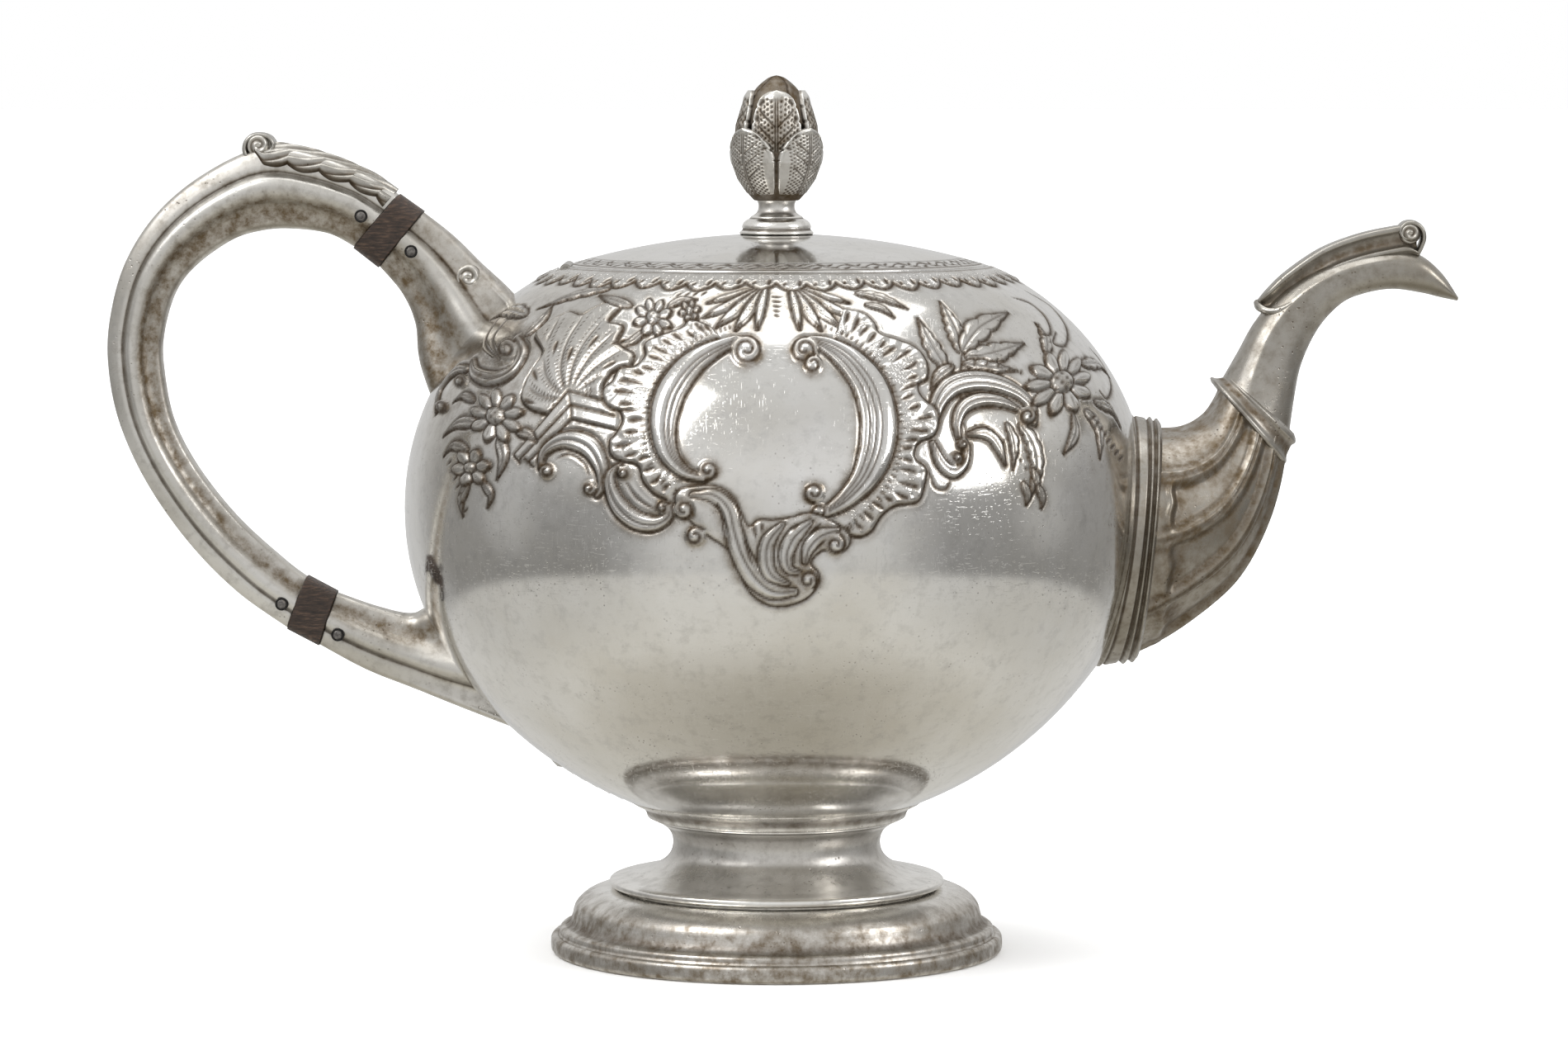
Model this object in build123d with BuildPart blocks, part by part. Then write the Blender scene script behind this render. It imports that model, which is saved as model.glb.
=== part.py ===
"""Footed spherical silver teapot: raised body, flush hinged lid, cast spout and an insulated scroll handle.

Units are millimetres. The origin is the centre of the foot's base, +Z is up, +X points to the spout
and -X to the handle. Every physical piece is a separate labelled solid, written to parts/NAME.step.
"""

import math
import os

from build123d import *

# ---------------------------------------------------------------- driving dimensions
BODY_WALL = 1.0  # raised sheet of the body
LID_WALL = 0.8  # raised sheet of the lid
LEDGE_WALL = 0.9  # ring under the rim that the lid rests on
CAST_WALL = 1.0  # hollow castings: spout, sockets and grip
FOOT_WALL = 1.1
HINGE_PLATE = 0.8

# Outside of body and lid as arcs: end, middle, end, middle, end ... each point a radius and a height.
POT_OUTLINE = [
    (12.0, 24.8), (19.6, 26.1), (26.5, 28.4), (44.4, 38.3), (59.1, 53.2), (67.0, 67.5), (69.7, 83.0),
    (60.3, 112.9), (39.5, 129.2),
]
LID_OUTLINE = [(39.2, 129.3), (20.6, 133.5), (0, 135.1)]
CROWN_Z = LID_OUTLINE[-1][1]
MOUTH_R, MOUTH_Z = POT_OUTLINE[-1]

LEDGE_INNER_R = 37.2
LEDGE_LIP_Z = 128.2
BEZEL_R = 36.8
BEZEL_WALL = 0.7
BEZEL_BOTTOM_Z = 122.5
BEZEL_TOP_Z = 129.0

HINGE_X = -39.3
HINGE_Z = 128.9
KNUCKLE_R = 1.1
KNUCKLE_COUNT = 5
KNUCKLE_LENGTH = 3.5
KNUCKLE_GAP = 0.15  # end play between neighbouring knuckles
HINGE_HALF = KNUCKLE_COUNT * KNUCKLE_LENGTH / 2
HINGE_PIN_R = 0.55
PIN_CLEARANCE = 0.05
SLOT_CLEARANCE = 0.2
NECK_REACH = 1.8  # from the hinge axis to the leaf that carries the knuckles

SPOUT_COLLAR_R = 22.6
STRAINER_HOLE_R = 1.5
STRAINER_PITCH = 4.6
STRAINER_Z = 78.0

STUD_R = 1.5
NUT_ACROSS = 6.0
NUT_HEIGHT = 2.4
WASHER_R = 5.0
WASHER_THICKNESS = 0.8
VENT_R = 0.8
INSULATOR_PIN_R = 1.0
TENON_LENGTH = 4.2
LOFT_SPANS = 4  # a long casting is lofted in groups of this many spans

# Stations along each hollow casting: outer point (x, z), inner point (x, z), half width across Y.
SPOUT_LOWER = [
    ((62.0, 98.6), (58.0, 56.0), 21.0),
    ((70.6, 98.6), (66.0, 56.0), 21.2),
    ((76.0, 99.0), (77.2, 62.0), 18.4),
    ((80.1, 101.3), (86.8, 70.6), 14.8),
    ((82.4, 104.5), (92.7, 81.6), 11.8),
    ((83.8, 108.0), (96.2, 94.9), 8.8),
]
SPOUT_UPPER = [
    ((83.8, 108.0), (96.2, 94.9), 8.8),
    ((86.8, 113.2), (97.3, 104.0), 6.9),
    ((89.8, 118.6), (98.7, 111.0), 5.9),
    ((94.2, 123.9), (101.8, 117.6), 5.3),
    ((100.4, 128.2), (106.0, 122.2), 5.0),
    ((107.4, 131.0), (110.2, 124.1), 4.8),
    ((115.0, 132.3), (115.6, 125.0), 4.6),
    ((121.6, 130.9), (120.4, 124.8), 4.4),
    ((130.0, 126.0), (126.6, 121.6), 4.0),
]
HANDLE_GRIP = [
    ((-70.8, 142.6), (-79.2, 132.9), 5.6),
    ((-76.7, 146.6), (-84.1, 135.4), 5.9),
    ((-86.9, 150.5), (-90.8, 136.3), 6.2),
    ((-96.6, 151.5), (-96.3, 136.0), 6.3),
    ((-107.4, 146.6), (-102.2, 134.2), 6.2),
    ((-116.3, 139.2), (-109.0, 129.4), 6.0),
    ((-122.4, 129.7), (-113.0, 124.1), 5.8),
    ((-125.3, 119.1), (-115.2, 116.3), 5.6),
    ((-125.6, 110.1), (-115.2, 109.8), 5.5),
    ((-123.6, 99.8), (-113.4, 100.5), 5.4),
    ((-118.6, 88.6), (-109.0, 91.7), 5.3),
    ((-110.9, 77.4), (-101.5, 82.1), 5.2),
    ((-101.9, 68.1), (-92.7, 74.0), 5.1),
    ((-92.2, 61.1), (-88.5, 70.8), 5.0),
]
UPPER_SOCKET = [
    ((-66.3, 139.4), (-74.6, 129.3), 5.6),
    ((-60.8, 135.1), (-70.4, 124.3), 5.9),
    ((-55.4, 129.8), (-67.9, 118.6), 7.2),
    ((-50.2, 124.9), (-66.8, 110.6), 9.6),
    ((-43.0, 117.0), (-62.0, 98.0), 12.6),
]
LOWER_SOCKET = [
    ((-86.3, 58.0), (-82.9, 67.8), 5.0),
    ((-77.4, 53.2), (-75.8, 65.3), 5.2),
    ((-67.8, 49.4), (-69.3, 63.8), 6.0),
    ((-58.2, 45.6), (-65.8, 65.0), 7.6),
    ((-46.0, 41.0), (-58.0, 68.0), 9.6),
]
UPPER_PIN_POINTS = [(-77.6, 138.8), (-68.3, 132.2)]
LOWER_PIN_POINTS = [(-93.0, 66.0), (-82.5, 60.2)]
PIN_HALF_LENGTHS = {"upper": 5.6, "lower": 5.1}
DRILL_LENGTH = 30.0  # longer than any casting is wide
TENON_SLACK = 1.1  # between a tenon and the casting's inner wall

STEP_R, STEP_Z = 31.5, 12.6
RIM_R, RIM_TOP_Z = 42.8, 3.3
RIM_INNER_R = 39.6
DOME_EDGE_R = 41.7

SPOUT_COLLAR_DEPTH = 8.6
SPOUT_BAND_HALF = 1.3
SPOUT_BAND_PROUD = 1.2
SPOUT_CURL = (118.3, 135.3)
SPOUT_CURL_R = 2.6
SPOUT_LEAF_HALF = 2.9
THUMB_CURL = (-96.6, 151.0)
THUMB_CURL_R = 2.5
THUMB_LEAF_HALF = 3.6

FINIAL_FOOT_R = 7.3
BUD_JOINT_Z = 153.0  # where the upper bud sits in the lower one
STEM_TOP_Z = 141.0
STUD_TOP_Z = 143.9


# ---------------------------------------------------------------- helpers
def circle_centre(a, b, c):
    """Centre of the circle through three points."""
    d = 2 * (a[0] * (b[1] - c[1]) + b[0] * (c[1] - a[1]) + c[0] * (a[1] - b[1]))
    sa, sb, sc = (p[0] ** 2 + p[1] ** 2 for p in (a, b, c))
    x = (sa * (b[1] - c[1]) + sb * (c[1] - a[1]) + sc * (a[1] - b[1])) / d
    y = (sa * (c[0] - b[0]) + sb * (a[0] - c[0]) + sc * (b[0] - a[0])) / d
    return x, y


def inset(profile, depth):
    """The outline of arcs moved inwards by depth along its normals; ends on the axis stay on it."""
    centres = [circle_centre(*profile[i : i + 3]) for i in range(0, len(profile) - 2, 2)]
    moved = []
    for i, (r, z) in enumerate(profile):
        arc = min(i // 2, len(centres) - 1)
        before = max((i - 1) // 2, 0)
        normal_r, normal_z = 0, 0
        for cr, cz in (centres[before], centres[arc]):
            size = math.hypot(r - cr, z - cz)
            normal_r += (r - cr) / size / 2
            normal_z += (z - cz) / size / 2
        if r == 0:
            normal_r, normal_z = 0, math.copysign(1, z - cz)
        moved.append((r - depth * normal_r, z - depth * normal_z))
    return moved


def arcs(points):
    """Draws joined arcs through end, middle, end, middle, end ... in the open BuildLine."""
    for i in range(0, len(points) - 2, 2):
        ThreePointArc(points[i], points[i + 1], points[i + 2])


def sheet_ring(outline, depth, thickness, start=90.0, turn=360.0, floor=False):
    """A sheet of revolution depth below the outline, from angle start through turn degrees.

    With floor, a flat disc closes it at the outline's first point.
    """
    upper = inset(outline, depth)
    lower = inset(outline, depth + thickness)
    with BuildPart() as ring:
        with BuildSketch(Plane.XZ.rotated((0, 0, start))):
            with BuildLine():
                arcs(upper)
                Line(upper[-1], lower[-1])
                arcs(lower[::-1])
                if floor:
                    Polyline(lower[0], (0, lower[0][1]), (0, upper[0][1]), upper[0])
                else:
                    Line(lower[0], upper[0])
            make_face()
        revolve(axis=Axis.Z, revolution_arc=turn)
    return ring.part


def arc_piece(outline, r_start, r_end):
    """Three points between two radii on the upper side of the one arc that the outline holds."""
    cr, cz = circle_centre(*outline)
    radius = math.hypot(outline[0][0] - cr, outline[0][1] - cz)
    radii = (r_start, (r_start + r_end) / 2, r_end)
    return [(r, cz + math.sqrt(radius**2 - (r - cr) ** 2)) for r in radii]


def station_plane(outer, inner):
    """The plane of a casting's cross-section: its x axis runs from the inner point to the outer one."""
    dx, dz = outer[0] - inner[0], outer[1] - inner[1]
    size = math.hypot(dx, dz)
    middle = ((outer[0] + inner[0]) / 2, 0, (outer[1] + inner[1]) / 2)
    return Plane(origin=middle, x_dir=(dx / size, 0, dz / size), z_dir=(-dz / size, 0, dx / size)), size / 2


def lofted(stations, shrink=0.0):
    """A solid lofted through oval sections, each one smaller than its station by shrink all round."""
    with BuildPart() as solid:
        for first in range(0, len(stations) - 1, LOFT_SPANS):
            for outer, inner, half_width in stations[first : first + LOFT_SPANS + 1]:
                plane, half_height = station_plane(outer, inner)
                with BuildSketch(plane):
                    Ellipse(half_height - shrink, half_width - shrink)
            loft()
    return solid.part


def export(part, name):
    """Labels a finished piece and writes it as its own file."""
    part.label = name
    export_step(part, f"parts/{name}.step")


os.makedirs("parts", exist_ok=True)

# ---------------------------------------------------------------- body
with BuildPart() as pot_outside:  # the solid outside of the pot, for trimming what is soldered to it
    with BuildSketch(Plane.XZ):
        with BuildLine():
            arcs(POT_OUTLINE)
            Polyline(POT_OUTLINE[-1], (0, MOUTH_Z), (0, POT_OUTLINE[0][1]), POT_OUTLINE[0])
        make_face()
    revolve(axis=Axis.Z)
POT_SOLID = pot_outside.part

SLOT_HALF = HINGE_HALF + SLOT_CLEARANCE
SLOT_REACH = KNUCKLE_R + SLOT_CLEARANCE
with BuildPart() as strainer_drill:  # round holes in rings behind the spout
    with BuildSketch(Plane(origin=(55, 0, STRAINER_Z), x_dir=(0, 1, 0), z_dir=(1, 0, 0))):
        Circle(STRAINER_HOLE_R)
        for ring_number in (1, 2):
            with PolarLocations(ring_number * STRAINER_PITCH, 6 * ring_number):
                Circle(STRAINER_HOLE_R)
    extrude(amount=20)

with BuildPart() as hinge_slot:
    with Locations((HINGE_X, 0, HINGE_Z)):
        Box(2 * (NECK_REACH + 0.1), 2 * SLOT_HALF, 8)

with BuildPart() as body_shell:
    add(sheet_ring(POT_OUTLINE, 0, BODY_WALL, floor=True))
    add(strainer_drill.part, mode=Mode.SUBTRACT)
    add(hinge_slot.part, mode=Mode.SUBTRACT)
export(body_shell.part, "body_shell")

SHOULDER = POT_OUTLINE[-3:]
LEDGE_OUTLINE = arc_piece(SHOULDER, 44.0, MOUTH_R)
with BuildPart() as rim_ledge:  # sheet ring under the rim, with a lip turned inwards for the lid to rest on
    ledge_top = inset(LEDGE_OUTLINE, BODY_WALL)
    ledge_low = inset(LEDGE_OUTLINE, BODY_WALL + LEDGE_WALL)
    with BuildSketch(Plane.XZ):
        with BuildLine():
            ThreePointArc(*ledge_top)
            lip_top = (LEDGE_INNER_R, LEDGE_LIP_Z)
            lip_low = (LEDGE_INNER_R, LEDGE_LIP_Z - LEDGE_WALL)
            Polyline(ledge_top[-1], lip_top, lip_low, ledge_low[-1])
            ThreePointArc(*ledge_low[::-1])
            Line(ledge_low[0], ledge_top[0])
        make_face()
    revolve(axis=Axis.Z)
    with Locations((HINGE_X, 0, HINGE_Z)):
        Box(14, 2 * SLOT_HALF + 3, 20, mode=Mode.SUBTRACT)
export(rim_ledge.part, "rim_ledge")

# ---------------------------------------------------------------- foot
with BuildPart() as foot_collar:  # moulded ring soldered between body and foot
    with BuildSketch(Plane.XZ):
        with BuildLine():
            Polyline((18.6, 30.0), (27.2, 30.0), (26.4, 28.2))
            ThreePointArc((26.4, 28.2), (24.6, 26.6), (24.3, 25.6))
            Polyline((24.3, 25.6), (22.9, 25.3), (18.6, 25.3), (18.6, 30.0))
        make_face()
    revolve(axis=Axis.Z)
    add(POT_SOLID, mode=Mode.SUBTRACT)
export(foot_collar.part, "foot_collar")

FOOT_NECK = [(22.6, 25.3), (20.4, 23.6), (19.6, 21.2), (20.3, 18.4), (23.2, 15.8), (27.6, 14.2)]
with BuildPart() as foot_neck:  # the trumpet of the foot, down to its step
    with BuildSketch(Plane.XZ):
        with BuildLine():
            neck = Spline(*FOOT_NECK, (STEP_R, STEP_Z), tangents=[(-0.6, -0.8), (0.95, -0.3)])
            Polyline(neck @ 1, (STEP_R, STEP_Z - FOOT_WALL), (STEP_R - 1.0, STEP_Z - FOOT_WALL))
            inner = Spline(
                (STEP_R - 1.0, STEP_Z - FOOT_WALL), (27.2, 13.0), (22.5, 14.8), (19.2, 17.8), (18.5, 21.2),
                (19.2, 24.0), (20.6, 25.3),
            )
            Line(inner @ 1, neck @ 0)
        make_face()
    revolve(axis=Axis.Z)
export(foot_neck.part, "foot_neck")

with BuildPart() as foot_base:  # the ogee dome below the step
    with BuildSketch(Plane.XZ):
        with BuildLine():
            dome = Spline(
                (STEP_R - 1.6, STEP_Z - FOOT_WALL), (35.4, 10.6), (38.2, 8.4), (38.9, 6.4), (40.0, 4.6),
                (DOME_EDGE_R, RIM_TOP_Z), tangents=[(1, -0.05), (1, -0.35)],
            )
            Polyline(dome @ 1, (DOME_EDGE_R, RIM_TOP_Z - 0.9))
            inner = Spline(
                (DOME_EDGE_R, RIM_TOP_Z - 0.9), (39.4, 3.8), (37.9, 6.1), (37.0, 7.9), (34.6, 9.5),
                (STEP_R - 1.6, STEP_Z - 2 * FOOT_WALL),
            )
            Line(inner @ 1, dome @ 0)
        make_face()
    revolve(axis=Axis.Z)
export(foot_base.part, "foot_base")

with BuildPart() as foot_rim:  # drawn wire soldered round the edge of the foot
    with BuildSketch(Plane.XZ):
        with BuildLine():
            Polyline((RIM_INNER_R, 0), (RIM_R - 0.3, 0), (RIM_R, 0.4), (RIM_R, 2.2))
            ThreePointArc((RIM_R, 2.2), (42.5, 2.9), (DOME_EDGE_R, RIM_TOP_Z))
            low_z = RIM_TOP_Z - 0.95
            Polyline((DOME_EDGE_R, RIM_TOP_Z), (DOME_EDGE_R, low_z), (RIM_INNER_R, low_z), (RIM_INNER_R, 0))
        make_face()
    revolve(axis=Axis.Z)
export(foot_rim.part, "foot_rim")

# ---------------------------------------------------------------- spout
SPOUT_AXIS = Plane(origin=(60.0, 0, 77.9), x_dir=(0, 1, 0), z_dir=(1, 0, -0.105))
with BuildPart() as spout_collar:  # moulded ring between spout and body
    with BuildSketch(SPOUT_AXIS):
        Circle(SPOUT_COLLAR_R)
    extrude(amount=SPOUT_COLLAR_DEPTH)
    chamfer(faces().sort_by(Axis.X)[-1].edges(), 1.2)
    add(POT_SOLID, mode=Mode.SUBTRACT)
    add(lofted(SPOUT_LOWER), mode=Mode.SUBTRACT)
export(spout_collar.part, "spout_collar")

with BuildPart() as spout_lower:
    add(lofted(SPOUT_LOWER))
    add(lofted(SPOUT_LOWER, CAST_WALL), mode=Mode.SUBTRACT)
    add(POT_SOLID, mode=Mode.SUBTRACT)
export(spout_lower.part, "spout_lower")

with BuildPart() as spout_upper:
    add(lofted(SPOUT_UPPER))
    add(lofted(SPOUT_UPPER, CAST_WALL), mode=Mode.SUBTRACT)
    lip = Plane(origin=(124.2, 0, 127.4), x_dir=(0.676, 0, -0.737), z_dir=(0.737, 0, 0.676))
    with BuildSketch(lip):
        Rectangle(40, 40)
    extrude(amount=20, mode=Mode.SUBTRACT)
export(spout_upper.part, "spout_upper")

band_plane, band_half = station_plane(SPOUT_UPPER[0][0], SPOUT_UPPER[0][1])
with BuildPart() as spout_band:  # double moulding over the joint of the two castings
    for offset_along in (-SPOUT_BAND_HALF, SPOUT_BAND_HALF):
        with BuildSketch(band_plane.offset(offset_along)):
            Ellipse(band_half + SPOUT_BAND_PROUD, SPOUT_UPPER[0][2] + SPOUT_BAND_PROUD)
    loft()
    add(lofted(SPOUT_LOWER), mode=Mode.SUBTRACT)
    add(lofted(SPOUT_UPPER), mode=Mode.SUBTRACT)
export(max(spout_band.part.solids(), key=lambda s: s.volume), "spout_band")

with BuildPart() as spout_leaf:  # cast strap leaf along the top of the spout, curled over at its tip
    with BuildSketch(Plane.XZ):
        with BuildLine():
            top = Spline((90.3, 120.5), (96.9, 128.1), (106.0, 133.8), (117.6, 137.6))
            Line(top @ 1, (116.6, 133.9))
            low = Spline((116.6, 133.9), (107.4, 130.5), (97.4, 125.6), (91.6, 118.4))
            Line(low @ 1, top @ 0)
        make_face()
        with Locations(SPOUT_CURL):
            Circle(SPOUT_CURL_R)
    extrude(amount=SPOUT_LEAF_HALF, both=True)
    add(lofted(SPOUT_UPPER), mode=Mode.SUBTRACT)
export(spout_leaf.part, "spout_leaf")

# ---------------------------------------------------------------- handle
with BuildPart() as handle_grip:
    add(lofted(HANDLE_GRIP))
    add(lofted(HANDLE_GRIP, CAST_WALL), mode=Mode.SUBTRACT)
    for x, z in (UPPER_PIN_POINTS[0], LOWER_PIN_POINTS[0]):
        with Locations(Location((x, 0, z), (90, 0, 0))):
            Cylinder(INSULATOR_PIN_R, DRILL_LENGTH, mode=Mode.SUBTRACT)
    with Locations((-99.2, -3.5, 147.4)):
        Cylinder(VENT_R, 20, rotation=(60, 0, 0), mode=Mode.SUBTRACT)
export(handle_grip.part, "handle_grip")

with BuildPart() as thumb_leaf:  # acanthus thumb piece on top of the grip, curled over at its tip
    with BuildSketch(Plane.XZ):
        with BuildLine():
            top = Spline((-71.6, 143.0), (-79.6, 149.0), (-88.0, 151.6), (-96.6, 153.5))
            Line(top @ 1, (-97.0, 149.0))
            low = Spline((-97.0, 149.0), (-88.0, 149.0), (-80.0, 146.6), (-72.6, 141.6))
            Line(low @ 1, top @ 0)
        make_face()
        with Locations(THUMB_CURL):
            Circle(THUMB_CURL_R)
    extrude(amount=THUMB_LEAF_HALF, both=True)
    add(lofted(HANDLE_GRIP), mode=Mode.SUBTRACT)
export(max(thumb_leaf.part.solids(), key=lambda s: s.volume), "thumb_leaf")

for name, stations, pin_points in (
    ("upper_socket", UPPER_SOCKET, UPPER_PIN_POINTS),
    ("lower_socket", LOWER_SOCKET, LOWER_PIN_POINTS),
):
    with BuildPart() as socket:
        add(lofted(stations))
        add(lofted(stations, CAST_WALL), mode=Mode.SUBTRACT)
        add(POT_SOLID, mode=Mode.SUBTRACT)
        with Locations(Location((pin_points[1][0], 0, pin_points[1][1]), (90, 0, 0))):
            Cylinder(INSULATOR_PIN_R, DRILL_LENGTH, mode=Mode.SUBTRACT)
    export(socket.part, name)


def insulator(grip_station, socket_station, pin_points, name):
    """A hardwood spacer between grip and socket, with a tenon and a cross pin on each side."""
    grip_plane, grip_half = station_plane(grip_station[0], grip_station[1])
    socket_plane, socket_half = station_plane(socket_station[0], socket_station[1])
    across = grip_plane.z_dir.dot(socket_plane.origin - grip_plane.origin)
    towards_socket = math.copysign(1, across)
    tenon_inset = CAST_WALL + TENON_SLACK
    with BuildPart() as spacer:
        with BuildSketch(grip_plane):
            Ellipse(grip_half, grip_station[2])
        with BuildSketch(socket_plane):
            Ellipse(socket_half, socket_station[2])
        loft()
        with BuildSketch(grip_plane):
            Ellipse(grip_half - tenon_inset, grip_station[2] - tenon_inset)
        extrude(amount=-towards_socket * TENON_LENGTH)
        with BuildSketch(socket_plane):
            Ellipse(socket_half - tenon_inset, socket_station[2] - tenon_inset)
        extrude(amount=towards_socket * TENON_LENGTH)
        for x, z in pin_points:
            with Locations(Location((x, 0, z), (90, 0, 0))):
                Cylinder(INSULATOR_PIN_R, DRILL_LENGTH, mode=Mode.SUBTRACT)
    export(spacer.part, name)


insulator(HANDLE_GRIP[0], UPPER_SOCKET[0], UPPER_PIN_POINTS, "upper_insulator")
insulator(HANDLE_GRIP[-1], LOWER_SOCKET[0], LOWER_PIN_POINTS, "lower_insulator")

PIN_NAMES = ("grip_side_pin", "socket_side_pin")
for joint_name, pin_points in (("upper", UPPER_PIN_POINTS), ("lower", LOWER_PIN_POINTS)):
    for pin_name, (x, z) in zip(PIN_NAMES, pin_points):
        with BuildPart() as cross_pin:
            with Locations(Location((x, 0, z), (90, 0, 0))):
                Cylinder(INSULATOR_PIN_R, 2 * PIN_HALF_LENGTHS[joint_name])
        export(cross_pin.part, f"{joint_name}_{pin_name}")

# ---------------------------------------------------------------- hinge
def knuckle_places(parity):
    """Centres along Y of the knuckles that belong to one leaf: every second one."""
    return [
        -HINGE_HALF + (i + 0.5) * KNUCKLE_LENGTH for i in range(KNUCKLE_COUNT) if i % 2 == parity
    ]


def hinge_leaf(parity, plate, side, name):
    """A leaf: a curved plate soldered to its sheet, with knuckles carried on short necks."""
    with BuildPart() as leaf:
        add(plate)
        for y in knuckle_places(parity):
            with Locations((HINGE_X + side * NECK_REACH / 2, y, HINGE_Z - 1.25)):
                Box(NECK_REACH, KNUCKLE_LENGTH - KNUCKLE_GAP, 1.3)
            with Locations(Location((HINGE_X, y, HINGE_Z), (90, 0, 0))):
                Cylinder(KNUCKLE_R, KNUCKLE_LENGTH - KNUCKLE_GAP)
        with Locations(Location((HINGE_X, 0, HINGE_Z), (90, 0, 0))):
            Cylinder(HINGE_PIN_R + PIN_CLEARANCE, 3 * HINGE_HALF, mode=Mode.SUBTRACT)
    export(leaf.part, name)


LEAF_ANGLE = 2 * math.degrees(math.asin(HINGE_HALF / MOUTH_R))
body_plate = sheet_ring(
    arc_piece(SHOULDER, 45.0, 40.9), BODY_WALL, HINGE_PLATE, 180 - LEAF_ANGLE / 2, LEAF_ANGLE
)
lid_plate = sheet_ring(
    arc_piece(LID_OUTLINE, 38.0, 33.5), LID_WALL, HINGE_PLATE, 180 - LEAF_ANGLE / 2, LEAF_ANGLE
)
hinge_leaf(0, body_plate, -1, "hinge_body_leaf")
hinge_leaf(1, lid_plate, 1, "hinge_lid_leaf")

with BuildPart() as hinge_pin:
    with Locations(Location((HINGE_X, 0, HINGE_Z), (90, 0, 0))):
        Cylinder(HINGE_PIN_R, 2 * HINGE_HALF)
export(hinge_pin.part, "hinge_pin")

# ---------------------------------------------------------------- lid
with BuildPart() as lid_shell:
    add(sheet_ring(LID_OUTLINE, 0, LID_WALL))
    with Locations((HINGE_X + SLOT_REACH, 0, HINGE_Z)):
        Box(10, 2 * SLOT_HALF, 12, align=(Align.MAX, Align.CENTER, Align.CENTER), mode=Mode.SUBTRACT)
    with Locations((0, 0, CROWN_Z)):
        Cylinder(STUD_R + PIN_CLEARANCE, 10, mode=Mode.SUBTRACT)
    with Locations((-24.0, 0, CROWN_Z)):
        Cylinder(VENT_R, 20, mode=Mode.SUBTRACT)
export(lid_shell.part, "lid_shell")

with BuildPart() as lid_bezel:  # upright band that centres the lid in the mouth
    with BuildSketch(Plane.XY.offset(BEZEL_BOTTOM_Z)):
        Circle(BEZEL_R)
        Circle(BEZEL_R - BEZEL_WALL, mode=Mode.SUBTRACT)
    extrude(amount=BEZEL_TOP_Z - BEZEL_BOTTOM_Z)
    with Locations((HINGE_X, 0, HINGE_Z)):
        Box(16, 2 * SLOT_HALF + 0.4, 4.6, mode=Mode.SUBTRACT)
export(lid_bezel.part, "lid_bezel")

# ---------------------------------------------------------------- finial
FINIAL_SEAT_Z = CROWN_Z - 0.1
with BuildPart() as finial_base:  # turned stem that the bud stands on
    with BuildSketch(Plane.XZ):
        with BuildLine():
            side = Spline(
                (FINIAL_FOOT_R, 135.4), (4.9, 137.7), (3.7, 139.4), (4.3, STEM_TOP_Z),
                tangents=[(-0.6, 0.8), (0.8, 0.6)],
            )
            Polyline(
                side @ 1, (STUD_R, STEM_TOP_Z), (STUD_R, FINIAL_SEAT_Z), (FINIAL_FOOT_R, FINIAL_SEAT_Z - 0.2), side @ 0
            )
        make_face()
    revolve(axis=Axis.Z)
    with BuildSketch(Plane.XZ):
        with BuildLine():
            ThreePointArc(LID_OUTLINE[0], LID_OUTLINE[1], LID_OUTLINE[2])
            Polyline((0, CROWN_Z), (0, 120), (39.2, 120), LID_OUTLINE[0])
        make_face()
    revolve(axis=Axis.Z, mode=Mode.SUBTRACT)
export(finial_base.part, "finial_base")

BUD_LOW = [(4.3, STEM_TOP_Z), (7.4, 144.2), (8.6, 147.8), (8.9, 151.2), (8.2, 154.2)]
with BuildPart() as finial_lower_bud:
    with BuildSketch(Plane.XZ):
        with BuildLine():
            side = Spline(*BUD_LOW)
            stud_hole_z = STUD_TOP_Z + 0.1
            Polyline(
                side @ 1, (5.2, BUD_JOINT_Z), (0, BUD_JOINT_Z), (0, stud_hole_z), (STUD_R, stud_hole_z),
                (STUD_R, STEM_TOP_Z), side @ 0,
            )
        make_face()
    revolve(axis=Axis.Z)
export(finial_lower_bud.part, "finial_lower_bud")

BUD_TOP = [(5.1, 153.2), (7.2, 155.6), (6.7, 158.2), (5.5, 161.0), (3.0, 163.8), (0, 165.0)]
with BuildPart() as finial_upper_bud:
    with BuildSketch(Plane.XZ):
        with BuildLine():
            side = Spline(*BUD_TOP)
            Polyline(side @ 1, (0, BUD_JOINT_Z), (5.1, BUD_JOINT_Z), side @ 0)
        make_face()
    revolve(axis=Axis.Z)
export(finial_upper_bud.part, "finial_upper_bud")

STUD_BOTTOM_Z = CROWN_Z - LID_WALL - WASHER_THICKNESS - NUT_HEIGHT - 1.2
with BuildPart() as finial_stud:
    with Locations((0, 0, STUD_BOTTOM_Z)):
        Cylinder(STUD_R - 0.02, STUD_TOP_Z - STUD_BOTTOM_Z, align=(Align.CENTER, Align.CENTER, Align.MIN))
export(finial_stud.part, "finial_stud")

WASHER_TOP_Z = CROWN_Z - LID_WALL - 0.1
with BuildPart() as finial_washer:
    with BuildSketch(Plane.XY.offset(WASHER_TOP_Z)):
        Circle(WASHER_R)
        Circle(STUD_R + PIN_CLEARANCE, mode=Mode.SUBTRACT)
    extrude(amount=-WASHER_THICKNESS)
export(finial_washer.part, "finial_washer")

with BuildPart() as finial_nut:
    with BuildSketch(Plane.XY.offset(WASHER_TOP_Z - WASHER_THICKNESS)):
        RegularPolygon(NUT_ACROSS / 2, 6, major_radius=False)
        Circle(STUD_R, mode=Mode.SUBTRACT)
    extrude(amount=-NUT_HEIGHT)
export(finial_nut.part, "finial_nut")
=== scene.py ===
"""Visual model of the footed silver teapot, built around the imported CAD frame.

Lengths in the tables are millimetres in the CAD frame: +Z up, +X to the spout, -Y to the viewer.
"""

import math

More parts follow.
